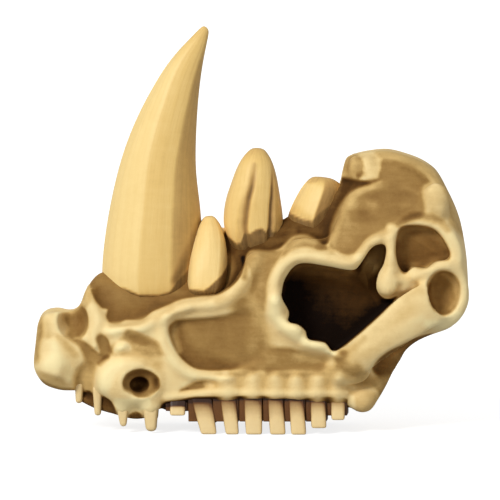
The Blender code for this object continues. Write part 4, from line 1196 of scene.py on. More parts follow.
def build_cranium(form_voxel, final_voxel):
    """The fused bone, with its hollows cut and its relief carved."""
    bone = cranium_forms()
    fuse(bone, form_voxel, smoothing=4)
    soften_sides(bone, rounds=8)
    for cut in cranium_cuts():
        apply_modifier(bone, "BOOLEAN", operation="DIFFERENCE", solver="MANIFOLD", object=cut)
        bpy.data.objects.remove(cut, do_unlink=True)
    fuse(bone, final_voxel, smoothing=3)
    carve(bone)
    fuse(bone, final_voxel, smoothing=2)
    soften_sides(bone, rounds=2)
    if len(bone.data.polygons) > BONE_FACES_LIMIT:
        apply_modifier(bone, "DECIMATE", ratio=BONE_FACES_LIMIT / len(bone.data.polygons))
    bone.data.materials.clear()
    activate(bone)
    bpy.ops.object.shade_smooth()
    return bone


# The blunt ridges between a horn's faces: the angle of each from the back edge round,
# at the horn's foot and at its tip. Then how far the faces are flattened, from 0 to 1.
HORN_FACES = {
    "nasal_horn": (((66, 69), (106, 103)), 0.40),
    "second_horn": (((62, 62),), 0.10),
    "frontal_horn": (((60, 44), (113, 86)), 0.10),
    "third_horn": (((89, 89),), 0.42),
}
# How dark each face of a horn is, counted round from the back edge: painted shade on the
# back faces and painted light on the front ones. Then how dark its tip is.
HORN_FACE_SHADING = {
    "nasal_horn": ((0.46, 0.26, 0.06), 0.34),
    "second_horn": ((0.26, 0.08), 0.12),
    "frontal_horn": ((0.46, 0.24, 0.18), 0.42),
    "third_horn": ((0.68, 0.12), 0.44),
}
# Where each horn's foot ends in the side view. Below it the horn gets painted shade, as
# dark as the trough that it stands in.
HORN_FEET = {
    "nasal_horn": (
        (100, 283), (112, 286), (126, 288), (139, 294), (159, 295), (171, 291), (178, 280),
        (190, 268), (203, 256),
    ),
    "second_horn": (
        (184, 288), (204, 290), (210, 286), (215, 281), (222, 275), (227, 266), (229, 258),
    ),
    "frontal_horn": (
        (222, 226), (228, 236), (237, 243.5), (241, 242), (244, 233), (250, 233.5), (256, 229.5),
        (262, 228), (266, 232), (269, 226), (273, 232), (279, 231), (284, 226),
    ),
    "third_horn": (
        (285, 208), (292, 214), (302, 219), (312, 221), (319, 213), (330, 205), (341, 190),
    ),
}
HORN_FOOT_SHADE_TONE = 0.86
HORN_FOOT_EDGE = (-1.5, 2.0)
# Shares of a horn's length between which its faces fade out, and its tip darkens.
FACES_FADE = (0.75, 1.0)
TIP_DARKENS = (0.80, 1.0)
# The frontal horn's grooves: their width in degrees, their depth as a share of the
# horn's radius, and the painted shade in them.
GROOVE_WIDTH = 5
GROOVE_DEPTH = 0.12
GROOVE_SHADE_TONE = 0.46
GROOVE_FADE = (0.56, 0.92)
RIDGE_EDGE = 4
HORN_SIDES = 24
# How much the distance to a ring's centre counts beside the height above its plane, when
# a point looks for its ring.
CENTRE_WEIGHT = 0.3
# Smoothing shrinks a ring of this many sides; its radius makes up for that.
HORN_RING_SHARE = 1.0115
HORN_RING_ALLOWANCE = 0.0012


def horn_rings(pairs):
    """Centre, half-vector from front to back edge, and half-width of each ring."""
    for front, back, half_width in pairs:
        near, far = place(*front), place(*back)
        yield (near + far) / 2, (far - near) / 2, half_width


def horn_blank(name, pairs):
    """A smooth horn, bridged through a ring at each pair of edge points."""
    deselect_all()
    for level, (centre, half, half_width) in enumerate(horn_rings(pairs)):
        bpy.ops.mesh.primitive_circle_add(
            vertices=HORN_SIDES, radius=half.length * HORN_RING_SHARE + HORN_RING_ALLOWANCE,
            location=centre, rotation=(0, -math.atan2(half.z, half.x), 0),
        )
        if level == 0:
            obj = bpy.context.object
            bpy.ops.object.transform_apply(location=True, rotation=True, scale=True)
            bpy.ops.object.mode_set(mode="EDIT")
        bpy.ops.transform.resize(value=(1, half_width / half.length, 1), center_override=centre)
    bpy.ops.mesh.select_all(action="SELECT")
    bpy.ops.mesh.bridge_edge_loops()
    bpy.ops.mesh.select_all(action="SELECT")
    bpy.ops.mesh.fill_holes(sides=0)
    bpy.ops.mesh.select_all(action="SELECT")
    bpy.ops.mesh.normals_make_consistent(inside=False)
    bpy.ops.object.mode_set(mode="OBJECT")
    obj.name = name
    apply_modifier(obj, "SUBSURF", levels=3, render_levels=3)
    return obj


def horn_places(points, pairs):
    """For each point: how far up the horn it is, from 0 to 1, its angle round from
    the back edge, from 0 to 180 degrees, and the centre of its ring."""
    given = list(horn_rings(pairs))
    rings = smooth_path([(*centre, *half) for centre, half, _ in given], 12)
    centres = np.array([ring[:3] for ring in rings])
    halves = np.array([ring[3:] for ring in rings])
    steps = np.linalg.norm(np.diff(centres, axis=0), axis=1)
    lengths = np.concatenate(([0], np.cumsum(steps))) / steps.sum()
    upward = np.gradient(centres, axis=0)
    upward /= np.linalg.norm(upward, axis=1)[:, None]
    flat = points[:, None, (0, 2)] - centres[None][:, :, (0, 2)]
    height = np.abs(np.einsum("ijk,jk->ij", flat, upward[:, (0, 2)]))
    level = np.argmin(height + CENTRE_WEIGHT * np.linalg.norm(flat, axis=2), axis=1)
    half = halves[level]
    rise = np.einsum("ij,ij->i", points - centres[level], upward[level])
    middle = centres[level] + rise[:, None] * upward[level]
    length = np.clip(lengths[level] + rise / steps.sum(), 0, 1)
    out = np.einsum("ij,ij->i", points - middle, half) / np.einsum("ij,ij->i", half, half)
    half_widths = [ring[2] for ring in given]
    wide = np.interp(length, np.linspace(0, 1, len(given)), half_widths)
    turn = np.degrees(np.arctan2(np.abs(points[:, 1]) / wide, out))
    return length, turn, middle


def face_flattening(turn, corners):
    """The radius of a many-sided section at each angle, where its ridges are at 1."""
    radius = np.ones(len(turn))
    for low, high in zip(corners, corners[1:]):
        middle = (low + high) / 2
        chord = np.cos(np.radians((high - low) / 2)) / np.cos(np.radians(turn - middle))
        radius = np.where((turn >= low) & (turn <= high), chord, radius)
    return radius


def finish_horn(obj, name, pairs, squareness):
    """Flattens the horn's faces, cuts its grooves and stores its tone, with painted light and
    shade on its faces, in its grooves and at its foot, and its fibre places.
    """
    mesh = obj.data
    points = mesh_array(mesh.vertices, "co")
    length, turn, centres = horn_places(points, pairs)
    ridges, flatness = HORN_FACES[name]
    ridges = [foot + (tip - foot) * length for foot, tip in ridges]
    flatness = flatness * (1 - smooth_step(*FACES_FADE, length))
    angle = np.radians(turn)
    power = 2 / squareness
    square = (np.abs(np.cos(angle)) ** power + np.abs(np.sin(angle)) ** power) ** (-1 / power)
    radius = square - flatness * (1 - face_flattening(turn, (0, *ridges, 180)))
    grooved = np.zeros(len(points))
    if name == "frontal_horn":
        for ridge in ridges:
            grooved += np.exp(-(((turn - ridge) / GROOVE_WIDTH) ** 2))
        grooved *= 1 - smooth_step(*GROOVE_FADE, length)
        radius -= GROOVE_DEPTH * grooved
    points = centres + (points - centres) * radius[:, None]
    store_points(mesh, points)
    faces, tip = HORN_FACE_SHADING[name]
    # Painted shade on the horn's back faces and painted light on its front ones.
    tone = np.full(len(points), faces[0])
    for ridge, before, after in zip(ridges, faces, faces[1:]):
        tone += (after - before) * smooth_step(ridge - RIDGE_EDGE, ridge + RIDGE_EDGE, turn)
    tone += (tip - tone) * smooth_step(*TIP_DARKENS, length)
    # Painted shade in the grooves.
    tone += grooved * GROOVE_SHADE_TONE
    u, v = side_view(points)
    foot = np.interp(u, *zip(*HORN_FEET[name]))
    tone = add_painted_shading_touches(tone, u, v, name)
    # Painted shade below the horn's foot.
    low, high = HORN_FOOT_EDGE
    tone += (HORN_FOOT_SHADE_TONE - tone) * smooth_step(foot + low, foot + high, v)
    add_attribute(mesh, "tone", np.clip(tone, 0, 1))
    add_attribute(mesh, "length", length)
    add_attribute(mesh, "turn", angle)
    activate(obj)
    bpy.ops.object.shade_smooth()


def build_horn(name):
    """One horn, at its place on the midline."""
    pairs, squareness = HORNS[name]
    obj = horn_blank(name + "_keratin", pairs)
    finish_horn(obj, name, pairs, squareness)
    return obj


def block(lower, upper):
    """A tapering block between two rectangles of (x0, x1, y0, y1, z), as the active object."""
    deselect_all()
    sizes = [Vector((r[1] - r[0], r[3] - r[2], 1)) for r in (lower, upper)]
    middles = [Vector(((r[0] + r[1]) / 2, (r[2] + r[3]) / 2, r[4])) for r in (lower, upper)]
    tall = upper[4] - lower[4]
    bpy.ops.mesh.primitive_cube_add(
        size=1, location=middles[1] - Vector((0, 0, tall / 2)),
        scale=(sizes[1].x, sizes[1].y, tall),
    )
    obj = bpy.context.object
    bpy.ops.object.transform_apply(location=True, rotation=True, scale=True)
    bpy.ops.object.mode_set(mode="EDIT")
    shape = bmesh.from_edit_mesh(obj.data)
    for face in shape.faces:
        face.select_set(face.normal.z < -0.9)
    bmesh.update_edit_mesh(obj.data)
    shift = middles[0] - middles[1]
    shares = (sizes[0].x / sizes[1].x, sizes[0].y / sizes[1].y, 1)
    bpy.ops.transform.translate(value=(shift.x, shift.y, 0))
    bpy.ops.transform.resize(value=shares, center_override=middles[0])
    bpy.ops.object.mode_set(mode="OBJECT")
    return obj


def rounded(obj, width):
    """Rounds a block's corners and cuts its sides into rows."""
    apply_modifier(
        obj, "BEVEL", width=width, segments=3, limit_method="ANGLE", angle_limit=SHARP_ANGLE,
    )
    activate(obj)
    bpy.ops.object.mode_set(mode="EDIT")
    bpy.ops.mesh.select_mode(type="EDGE")
    shape = bmesh.from_edit_mesh(obj.data)
    for edge in shape.edges:
        rise = edge.verts[1].co - edge.verts[0].co
        edge.select_set(abs(rise.z) > LONG_EDGE_SHARE * obj.dimensions.z)
    bmesh.update_edit_mesh(obj.data)
    bpy.ops.mesh.subdivide(number_cuts=BLOCK_ROWS - 1)
    bpy.ops.mesh.select_mode(type="VERT")
    bpy.ops.object.mode_set(mode="OBJECT")
    apply_modifier(obj, "SUBSURF", levels=1, render_levels=1)


def tooth_pillar(tooth, half_depth, set_back):
    """The tooth's outer pillar on the left side."""
    gum, worn, top, bottom, distance = tooth
    root = place(0, top, distance).z + ROOT_LENGTH
    end = 0.0 if bottom is None else place(0, bottom, distance).z
    low, high = (
        [place(u0 - PILLAR_ALLOWANCE, 0).x, place(u1 + PILLAR_ALLOWANCE, 0).x]
        for u0, u1 in (worn, gum)
    )
    outer, inner = -distance - half_depth, -distance + half_depth
    pillar = block(
        (*low, outer + PILLAR_TAPER[0], inner - PILLAR_TAPER[1], end),
        (*high, outer + set_back, inner, root),
    )
    rounded(pillar, min(PILLAR_CORNER, PILLAR_CORNER_SHARE * (low[1] - low[0])))
    return pillar


def tooth_crown(index):
    """The broad inner part of a left cheek tooth, set back from its pillar."""
    _, _, top, bottom, distance = CHEEK_TEETH[index]
    middles = [sum(tooth[0]) / 2 for tooth in CHEEK_TEETH]
    before = middles[index - 1] if index else 2 * middles[0] - middles[1]
    after = middles[index + 1] if index + 1 < len(middles) else 2 * middles[-1] - middles[-2]
    x0 = place((before + middles[index]) / 2, 0).x + CROWN_GAP
    x1 = place((after + middles[index]) / 2, 0).x - CROWN_GAP
    y = -distance + CROWN_INSET
    outer, inner = y - CROWN_HALF_DEPTH, y + CROWN_HALF_DEPTH
    level = CROWN_END if bottom is None else min(bottom - CROWN_CLEARANCE, CROWN_END)
    crown = block(
        (x0, x1, outer + CROWN_TAPER, inner - CROWN_TAPER, place(0, level, distance).z),
        (x0, x1, outer, inner, place(0, top, distance).z + ROOT_LENGTH),
    )
    rounded(crown, CROWN_CORNER)
    points = mesh_array(crown.data.vertices, "co")
    points[:, 0] += CROWN_LEAN * (points[:, 1] - y)
    store_points(crown.data, points)
    return crown


# Painted shade of the teeth: darker towards the back and front edges, a painted shadow
# by the gum, and a cheek tooth's crown darkened behind its face. Towards the back and
# front edges, and by the gum, the places are shares of the width and view units below
# the gum line.
TOOTH_TONE = 0.17
BACK_EDGE_SHADE_TONE, BACK_EDGE = 0.16, (0.70, 1.0)
FRONT_EDGE_SHADE_TONE, FRONT_EDGE = 0.06, (0, 0.2)
GUM_SHADE_TONE, GUM_SHADE = 0.08, (0, 12)
GUM_SHADOW_LINE_TONE, GUM_LINE = 0.50, (1, 4)
BACKING_SHADE_TONE, BACKING_EDGE = 0.55, (-0.001, 0.004)


def shade_tooth(obj, tooth, behind_gum):
    """Paints shade on a tooth along its edges, and on a cheek tooth a painted shadow at the gum
    and painted shade behind its face.
    """
    gum, worn, top, bottom, distance = tooth
    mesh = obj.data
    points = mesh_array(mesh.vertices, "co")
    u, v = side_view(points)
    share = np.clip((v - top) / ((bottom or WORN_LEVEL) - top), 0, 1)
    left = gum[0] + share * (worn[0] - gum[0])
    right = gum[1] + share * (worn[1] - gum[1])
    across = (u - left) / (right - left)
    # Painted shade towards the back and front edges rounds the tooth.
    tone = TOOTH_TONE + BACK_EDGE_SHADE_TONE * smooth_step(*BACK_EDGE, across)
    tone += FRONT_EDGE_SHADE_TONE * (1 - smooth_step(*FRONT_EDGE, across))
    if behind_gum:
        depth = np.abs(points[:, 1]) - distance
        # Painted shadow by the gum and painted shade behind the face.
        tone += GUM_SHADE_TONE * (1 - smooth_step(*GUM_SHADE, v - top))
        tone += GUM_SHADOW_LINE_TONE * (1 - smooth_step(*GUM_LINE, v - top))
        tone += BACKING_SHADE_TONE * (1 - smooth_step(*BACKING_EDGE, depth))
    add_attribute(mesh, "tone", np.clip(tone, 0, 1))


def build_tooth(kind, index):
    """One left tooth, as the active object."""
    cheek = kind == "cheek_tooth"
    tooth = (CHEEK_TEETH if cheek else FRONT_TEETH)[index]
    if cheek:
        obj = tooth_pillar(tooth, PILLAR_HALF_DEPTH, ROOT_SET_BACK)
        crown = tooth_crown(index)
        activate(obj)
        crown.select_set(True)
        bpy.ops.object.join()
    else:
        obj = tooth_pillar(tooth, FRONT_TOOTH_HALF_DEPTH, 0)
    shade_tooth(obj, tooth, cheek)
    activate(obj)
    bpy.ops.object.shade_smooth_by_angle(angle=SHARP_ANGLE)
    return obj


def mirrored(obj):
    """A copy of the object on the other side of the midline, with its own mesh."""
    activate(obj)
    bpy.ops.object.duplicate()
    copy = bpy.context.object
    bpy.ops.object.mode_set(mode="EDIT")
    bpy.ops.mesh.select_all(action="SELECT")
    bpy.ops.transform.resize(value=(1, -1, 1), center_override=(0, 0, 0))
    bpy.ops.mesh.normals_make_consistent(inside=False)
    bpy.ops.object.mode_set(mode="OBJECT")
    return copy


def linear(colour):
    """The linear values of a colour whose display values run from 0 to 255."""
    return [c / 255 / 12.92 if c <= 10 else ((c / 255 + 0.055) / 1.055) ** 2.4 for c in colour]


# The colour of each tone: how dark it is, and its display values from 0 to 255.
BONE_TONES = (
    (0.00, (255, 236, 178)), (0.20, (245, 217, 156)), (0.38, (216, 181, 116)),
    (0.52, (168, 132, 75)), (0.66, (134, 98, 50)), (0.80, (88, 58, 24)), (1.00, (20, 9, 3)),
)
HORN_TONE_COLOURS = (
    (0.00, (255, 224, 153)), (0.30, (240, 202, 124)), (0.60, (196, 154, 90)), (1.00, (74, 50, 24)),
)
TOOTH_TONES = (
    (0.00, (250, 226, 172)), (0.25, (240, 210, 150)), (0.50, (196, 160, 104)),
    (0.75, (116, 72, 27)), (1.00, (56, 28, 8)),
)


def add_node(tree, kind, *values, **settings):
    """Adds a node with these settings. Each value is for the input of its index: a
    number, a colour, the socket that feeds it, or None to leave the input alone."""
    made = tree.nodes.new(kind)
    for name, value in settings.items():
        setattr(made, name, value)
    for socket, value in zip(made.inputs, values):
        if isinstance(value, bpy.types.NodeSocket):
            tree.links.new(value, socket)
        elif value is not None:
            socket.default_value = value
    return made


def combine(tree, operation, *values):
    """The result of a Math node."""
    return add_node(tree, "ShaderNodeMath", *values, operation=operation).outputs[0]


def scaled(tree, value, share, centre=0.0):
    """How far the value is from its centre, times this share."""
    if centre:
        value = combine(tree, "SUBTRACT", value, centre)
    return combine(tree, "MULTIPLY", value, share)


def add_share(tree, base, value, share, centre=0.0):
    """The base and a share of a second value, added up."""
    return combine(tree, "ADD", base, scaled(tree, value, share, centre))


def noise(tree, where, scale, detail=4.0, roughness=0.55):
    """Soft noise from 0 to 1 over these places."""
    made = add_node(tree, "ShaderNodeTexNoise")
    tree.links.new(where, made.inputs["Vector"])
    made.inputs["Scale"].default_value = scale
    made.inputs["Detail"].default_value = detail
    made.inputs["Roughness"].default_value = roughness
    return made.outputs["Fac"]


def stretched(tree, where, scale):
    """The places scaled by a different number along each axis."""
    made = add_node(tree, "ShaderNodeMapping", vector_type="POINT")
    tree.links.new(where, made.inputs["Vector"])
    made.inputs["Scale"].default_value = scale
    return made.outputs["Vector"]


def ramp(tree, factor, stops, tint):
    """The colour of a tone, between stops and multiplied by the tint."""
    made = add_node(tree, "ShaderNodeValToRGB", factor)
    elements = made.color_ramp.elements
    while len(elements) < len(stops):
        elements.new(0.5)
    for element, (position, colour) in zip(elements, stops):
        element.position = position
        element.color = (*(value * share for value, share in zip(linear(colour), tint)), 1)
    return made.outputs["Color"]


def grade(tree, factor, low, high):
    """0 below low, 1 above high, and eased between them."""
    made = add_node(tree, "ShaderNodeMapRange", factor, interpolation_type="SMOOTHSTEP")
    made.inputs["From Min"].default_value = low
    made.inputs["From Max"].default_value = high
    return made.outputs["Result"]


def new_group(name, inputs, outputs):
    """A shader node group with float or vector sockets, and its two end nodes."""
    group = bpy.data.node_groups.new(name, "ShaderNodeTree")
    for label, kind in inputs.items():
        group.interface.new_socket(label, in_out="INPUT", socket_type="NodeSocket" + kind)
    for label in outputs:
        group.interface.new_socket(label, in_out="OUTPUT", socket_type="NodeSocketFloat")
    return group, group.nodes.new("NodeGroupInput"), group.nodes.new("NodeGroupOutput")


# Blotches, stains and speckle: the scale of each noise and how much it adds to a tone.
MOTTLES = ((14, 0.16), (60, 0.12), (380, 0.05))
STREAK_SCALE, STREAK_AMOUNT = (18, 90, 130), 0.10


def mottle_group():
    """Uneven stain: adds soft blotches, fine speckle and lengthwise streaks to a tone."""
    group, given, result = new_group(
        "uneven_stain", {"Tone": "Float", "Place": "Vector"}, ("Tone",),
    )
    where, tone = given.outputs["Place"], given.outputs["Tone"]
    layers = [(where, scale, amount) for scale, amount in MOTTLES]
    layers.append((stretched(group, where, STREAK_SCALE), 1, STREAK_AMOUNT))
    for socket, scale, amount in layers:
        blotch = noise(group, socket, scale, 5.0, 0.6)
        tone = add_share(group, tone, blotch, amount, centre=0.5)
    group.links.new(tone, result.inputs["Tone"])
    return group


PORE_SCALE, PORE_EDGE, PORE_DEPTH = 620, (0.05, 0.34), 0.4
PORE_PATCHES, PORE_PATCH_EDGE = 34, (0.50, 0.66)
FINE_GRAIN, FINE_GRAIN_HEIGHT = 260, 0.5
COARSE_GRAIN, COARSE_GRAIN_HEIGHT = 60, 0.8


def bone_relief_group():
    """Pores and a coarse grain, as a height."""
    group, given, result = new_group(
        "bone_relief", {"Place": "Vector", "Amount": "Float"}, ("Height", "Pore"),
    )
    where = given.outputs["Place"]
    pores = add_node(group, "ShaderNodeTexVoronoi", feature="F1")
    group.links.new(where, pores.inputs["Vector"])
    pores.inputs["Scale"].default_value = PORE_SCALE
    pore = combine(group, "SUBTRACT", 1.0, grade(group, pores.outputs["Distance"], *PORE_EDGE))
    patches = grade(group, noise(group, where, PORE_PATCHES), *PORE_PATCH_EDGE)
    pore = combine(group, "MULTIPLY", pore, patches)
    height = scaled(group, noise(group, where, FINE_GRAIN, 5.0, 0.6), FINE_GRAIN_HEIGHT)
    height = add_share(group, height, noise(group, where, COARSE_GRAIN), COARSE_GRAIN_HEIGHT)
    height = add_share(group, height, pore, -PORE_DEPTH)
    height = combine(group, "MULTIPLY", height, given.outputs["Amount"])
    group.links.new(height, result.inputs["Height"])
    group.links.new(pore, result.inputs["Pore"])
    return group


# A horn's fibres: how far along its length they run before they change.
FIBRE_STRETCH = 0.35


def fibre_group():
    """Fibres that run from a horn's base to its tip, as a height."""
    group, given, result = new_group(
        "horn_fibres", {"Length": "Float", "Turn": "Float"}, ("Height",),
    )
    turn = given.outputs["Turn"]
    where = add_node(
        group, "ShaderNodeCombineXYZ", combine(group, "COSINE", turn), combine(group, "SINE", turn),
        scaled(group, given.outputs["Length"], FIBRE_STRETCH),
    ).outputs[0]
    height = scaled(group, noise(group, where, 9, 3.0, 0.5), 0.8)
    height = add_share(group, height, noise(group, where, 46, 5.0, 0.65), 0.25)
    group.links.new(height, result.inputs["Height"])
    return group


def new_material(name, roughness):
    """A material, its node tree and its shader."""
    made = bpy.data.materials.new(name)
    made.use_nodes = True
    shader = made.node_tree.nodes["Principled BSDF"]
    shader.inputs["Roughness"].default_value = roughness
    return made, made.node_tree, shader


def attribute(tree, name):
    return add_node(tree, "ShaderNodeAttribute", attribute_name=name).outputs["Fac"]


def use_group(tree, group, **values):
    """Places a node group, its inputs fed by these sockets or numbers."""
    made = tree.nodes.new("ShaderNodeGroup")
    made.node_tree = group
    for name, value in values.items():
        socket = made.inputs[name]
        if isinstance(value, bpy.types.NodeSocket):
            tree.links.new(value, socket)
        else:
            socket.default_value = value
    return made.outputs


def object_places(tree):
    return add_node(tree, "ShaderNodeTexCoord").outputs["Object"]


def bump(tree, shader, height, distance):
    """Feeds a height to the shader's normal, this deep in metres."""
    made = add_node(tree, "ShaderNodeBump")
    made.inputs["Distance"].default_value = distance
    made.inputs["Strength"].default_value = 1.0
    tree.links.new(height, made.inputs["Height"])
    tree.links.new(made.outputs["Normal"], shader.inputs["Normal"])


# How deep the relief of the materials is, in metres.
BONE_GRAIN_DEPTH = 0.0009
FIBRE_DEPTH = 0.0009
ENAMEL_GRAIN_DEPTH = 0.0008
# How much painted highlight raised bone gets and painted shade hollowed bone, how much
# darker its pores are, and how its roughness grows with its tone.
RAISED_HIGHLIGHT_AND_SHADE = -0.22
PORE_TONE = 0.05
BONE_ROUGHNESS, BONE_ROUGHENING = 0.50, 0.25
# How much the fibres change a horn's tone, about their middle height.
FIBRE_TONE, FIBRE_MIDDLE = 0.26, 0.53


def bone_material(mottle, relief, tint):
    # Its tone holds the stains and the painted light and shade of the bone.
    made, tree, shader = new_material("weathered_bone", 0.62)
    where = object_places(tree)
    surface = use_group(tree, relief, Place=where, Amount=1.0)
    # Raised bone gets a painted highlight and hollowed bone a painted shade.
    tone = add_share(tree, attribute(tree, "tone"), attribute(tree, "raised"), RAISED_HIGHLIGHT_AND_SHADE, 0.5)
    tone = use_group(tree, mottle, Tone=tone, Place=where)["Tone"]
    tone = add_share(tree, tone, surface["Pore"], PORE_TONE)
    roughness = combine(tree, "ADD", scaled(tree, tone, BONE_ROUGHENING), BONE_ROUGHNESS)
    tree.links.new(ramp(tree, tone, BONE_TONES, tint), shader.inputs["Base Color"])
    tree.links.new(roughness, shader.inputs["Roughness"])
    shader.inputs["Specular IOR Level"].default_value = 0.08
    bump(tree, shader, surface["Height"], BONE_GRAIN_DEPTH)
    return made


def horn_material(mottle, fibres, tint):
    made, tree, shader = new_material("old_horn", 0.45)
    places = {"Length": attribute(tree, "length"), "Turn": attribute(tree, "turn")}
    strands = use_group(tree, fibres, **places)["Height"]
    # The tone holds painted light and shade on the horn's faces, grooves and foot.
    tone = use_group(tree, mottle, Tone=attribute(tree, "tone"), Place=object_places(tree))["Tone"]
    tone = add_share(tree, tone, strands, FIBRE_TONE, FIBRE_MIDDLE)
    tree.links.new(ramp(tree, tone, HORN_TONE_COLOURS, tint), shader.inputs["Base Color"])
    shader.inputs["Specular IOR Level"].default_value = 0.25
    bump(tree, shader, strands, FIBRE_DEPTH)
    return made


def tooth_material(mottle, tint):
    # Its tone holds painted shade at the edges, by the gum and behind the face.
    made, tree, shader = new_material("stained_enamel", 0.38)
    where = object_places(tree)
    tone = use_group(tree, mottle, Tone=attribute(tree, "tone"), Place=where)["Tone"]
    tree.links.new(ramp(tree, tone, TOOTH_TONES, tint), shader.inputs["Base Color"])
    grain = noise(tree, stretched(tree, where, (160, 160, 30)), 1)
    bump(tree, shader, grain, ENAMEL_GRAIN_DEPTH)
    return made


def floor_material():
    """A floor that looks nearly white to the camera and throws little light back."""
    made, tree, shader = new_material("pale_floor", 0.9)
    shader.inputs["Base Color"].default_value = (0.50, 0.50, 0.50, 1)
    shader.inputs["Specular IOR Level"].default_value = 0.0
    shader.inputs["Emission Color"].default_value = (1, 1, 1, 1)
    seen = add_node(tree, "ShaderNodeLightPath").outputs["Is Camera Ray"]
    tree.links.new(combine(tree, "MULTIPLY", seen, 0.80), shader.inputs["Emission Strength"])
    return made


def dress(obj, look):
    obj.data.materials.clear()
    obj.data.materials.append(look)


# A tint multiplies every tone, the painted light and shade among them.
def tint_setting(label, what):
    return FloatVectorProperty(
        name=label + " Tint", description=f"Colour that the stains of the {what} are multiplied by",
        subtype="COLOR", default=(1, 1, 1), min=0, max=1,
    )


def light_setting(label, what, strength):
    return FloatProperty(
        name=label + " Light", description=f"Strength of the {what}", default=strength, min=0.0,
    )


class SkullSettings(bpy.types.PropertyGroup):
    """Sizes, colours and lights that a user may change before building."""

    form_voxel: FloatProperty(
        name="Form Voxel", description="Voxel size of the fused bone before its hollows are cut",
        default=0.0032, min=0.002, max=0.01, unit="LENGTH",
    )
    final_voxel: FloatProperty(
        name="Final Voxel", description="Voxel size of the finished bone",
        default=0.0024, min=0.0018, max=0.01, unit="LENGTH",
    )
    bone_tint: tint_setting("Bone", "bone")
    horn_tint: tint_setting("Horn", "horns")
    enamel_tint: tint_setting("Enamel", "teeth")
    camera_distance: FloatProperty(
        name="Camera Distance", description="Distance of the camera from the skull's side",
        default=9.0, min=1.0, unit="LENGTH",
    )
    key_light: light_setting("Key", "light from the upper left", 2.0)
    fill_light: light_setting("Fill", "light from the right", 0.25)
    sky_light: light_setting("Sky", "even light from all round", 0.42)


FLOOR_SIZE = 80
SENSOR_WIDTH = 36
CAMERA_REACH = 200
# The direction in which each light shines, and its angular size in degrees.
LIGHTS = {"key": ((0.58, 0.80, -0.62), 16), "fill": ((-0.7, 0.7, -0.3), 60)}


def build_stage(settings):
    deselect_all()
    bpy.ops.mesh.primitive_plane_add(size=FLOOR_SIZE, location=(0, 0, 0))
    floor = bpy.context.object
    floor.name = "floor"
    dress(floor, floor_material())
    distance = settings.camera_distance
    target = place(PICTURE_SIZE / 2, PICTURE_SIZE / 2, 0)
    bpy.ops.object.camera_add(
        location=target + distance * Vector((0, -math.cos(VIEW_TILT), math.sin(VIEW_TILT))),
        rotation=(math.pi / 2 - VIEW_TILT, 0, 0),
    )
    camera = bpy.context.object
    camera.data.sensor_width = SENSOR_WIDTH
    camera.data.lens = SENSOR_WIDTH * distance / (PICTURE_SIZE * UNIT)
    camera.data.clip_end = CAMERA_REACH
    bpy.context.scene.camera = camera
    for name, (aim, angle) in LIGHTS.items():
        turn = Vector(aim).to_track_quat("-Z", "Y").to_euler()
        bpy.ops.object.light_add(type="SUN", rotation=turn)
        light = bpy.context.object
        light.name = name
        light.data.energy = getattr(settings, name + "_light")
        light.data.angle = math.radians(angle)
    world = bpy.data.worlds.new("pale_studio")
    world.use_nodes = True
    sky = world.node_tree.nodes["Background"]
    sky.inputs["Color"].default_value = (1, 1, 1, 1)
    sky.inputs["Strength"].default_value = settings.sky_light
    bpy.context.scene.world = world
    bpy.context.scene.view_settings.view_transform = "Standard"


class SKULL_OT_build_stage(bpy.types.Operator):
    """Sets the camera, the lights and the pale floor"""

    bl_idname = "skull.build_stage"
    bl_label = "Build Stage"

    def execute(self, context):
        build_stage(context.scene.skull_settings)
        return {"FINISHED"}


class SKULL_OT_build_cranium(bpy.types.Operator):
    """Models the fused bone of the skull and paints its stains, light and shade"""

    bl_idname = "skull.build_cranium"
    bl_label = "Build Cranium"

    def execute(self, context):
        settings = context.scene.skull_settings
        bone = build_cranium(settings.form_voxel, settings.final_voxel)
        stain_and_shade_bone(bone)
        dress(bone, bone_material(mottle_group(), bone_relief_group(), settings.bone_tint))
        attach(bone, "root")
        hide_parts("cranium")
        return {"FINISHED"}


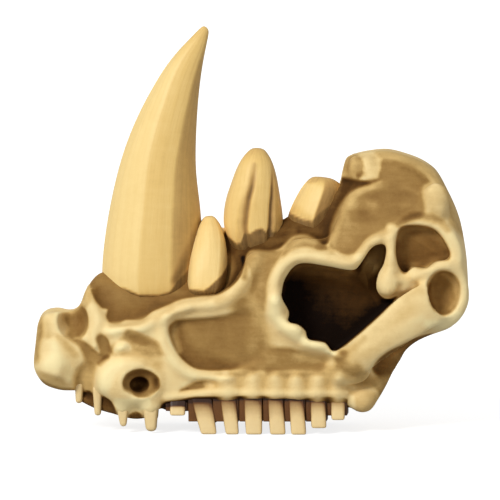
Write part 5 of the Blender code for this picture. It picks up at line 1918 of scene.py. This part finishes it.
class SKULL_OT_build_horns(bpy.types.Operator):
    """Models the four horns on the midline"""

    bl_idname = "skull.build_horns"
    bl_label = "Build Horns"

    def execute(self, context):
        tint = context.scene.skull_settings.horn_tint
        look = horn_material(mottle_group(), fibre_group(), tint)
        for name in HORNS:
            horn = build_horn(name)
            dress(horn, look)
            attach(horn, "root")
            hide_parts(name)
        return {"FINISHED"}


class SKULL_OT_build_teeth(bpy.types.Operator):
    """Models the upper teeth of both sides"""

    bl_idname = "skull.build_teeth"
    bl_label = "Build Teeth"

    def execute(self, context):
        look = tooth_material(mottle_group(), context.scene.skull_settings.enamel_tint)
        for kind, teeth in (("front_tooth", FRONT_TEETH), ("cheek_tooth", CHEEK_TEETH)):
            for index in range(len(teeth)):
                left = build_tooth(kind, index)
                dress(left, look)
                for side, tooth in (("left", left), ("right", mirrored(left))):
                    tooth.name = f"{kind}_{index + 1}_{side}_enamel"
                    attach(tooth, "root")
                    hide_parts(f"{kind}_{index + 1}_{side}")
        return {"FINISHED"}


class SKULL_PT_panel(bpy.types.Panel):
    """Lists the steps that build the skull"""

    bl_label = "Rhinoceros Skull"
    bl_space_type = "VIEW_3D"
    bl_region_type = "UI"
    bl_category = "Skull"

    def draw(self, context):
        settings = context.scene.skull_settings
        for name in settings.__annotations__:
            self.layout.prop(settings, name)
        for step in STEPS:
            self.layout.operator(step.bl_idname)


STEPS = (SKULL_OT_build_stage, SKULL_OT_build_cranium, SKULL_OT_build_horns, SKULL_OT_build_teeth)
CLASSES = (SkullSettings, *STEPS, SKULL_PT_panel)


def register():
    for kind in CLASSES:
        bpy.utils.register_class(kind)
    bpy.types.Scene.skull_settings = PointerProperty(type=SkullSettings)


def unregister():
    del bpy.types.Scene.skull_settings
    for kind in reversed(CLASSES):
        bpy.utils.unregister_class(kind)


def main():
    register()
    bpy.ops.skull.build_stage()
    bpy.ops.skull.build_cranium()
    bpy.ops.skull.build_horns()
    bpy.ops.skull.build_teeth()


if __name__ == "__main__":
    main()
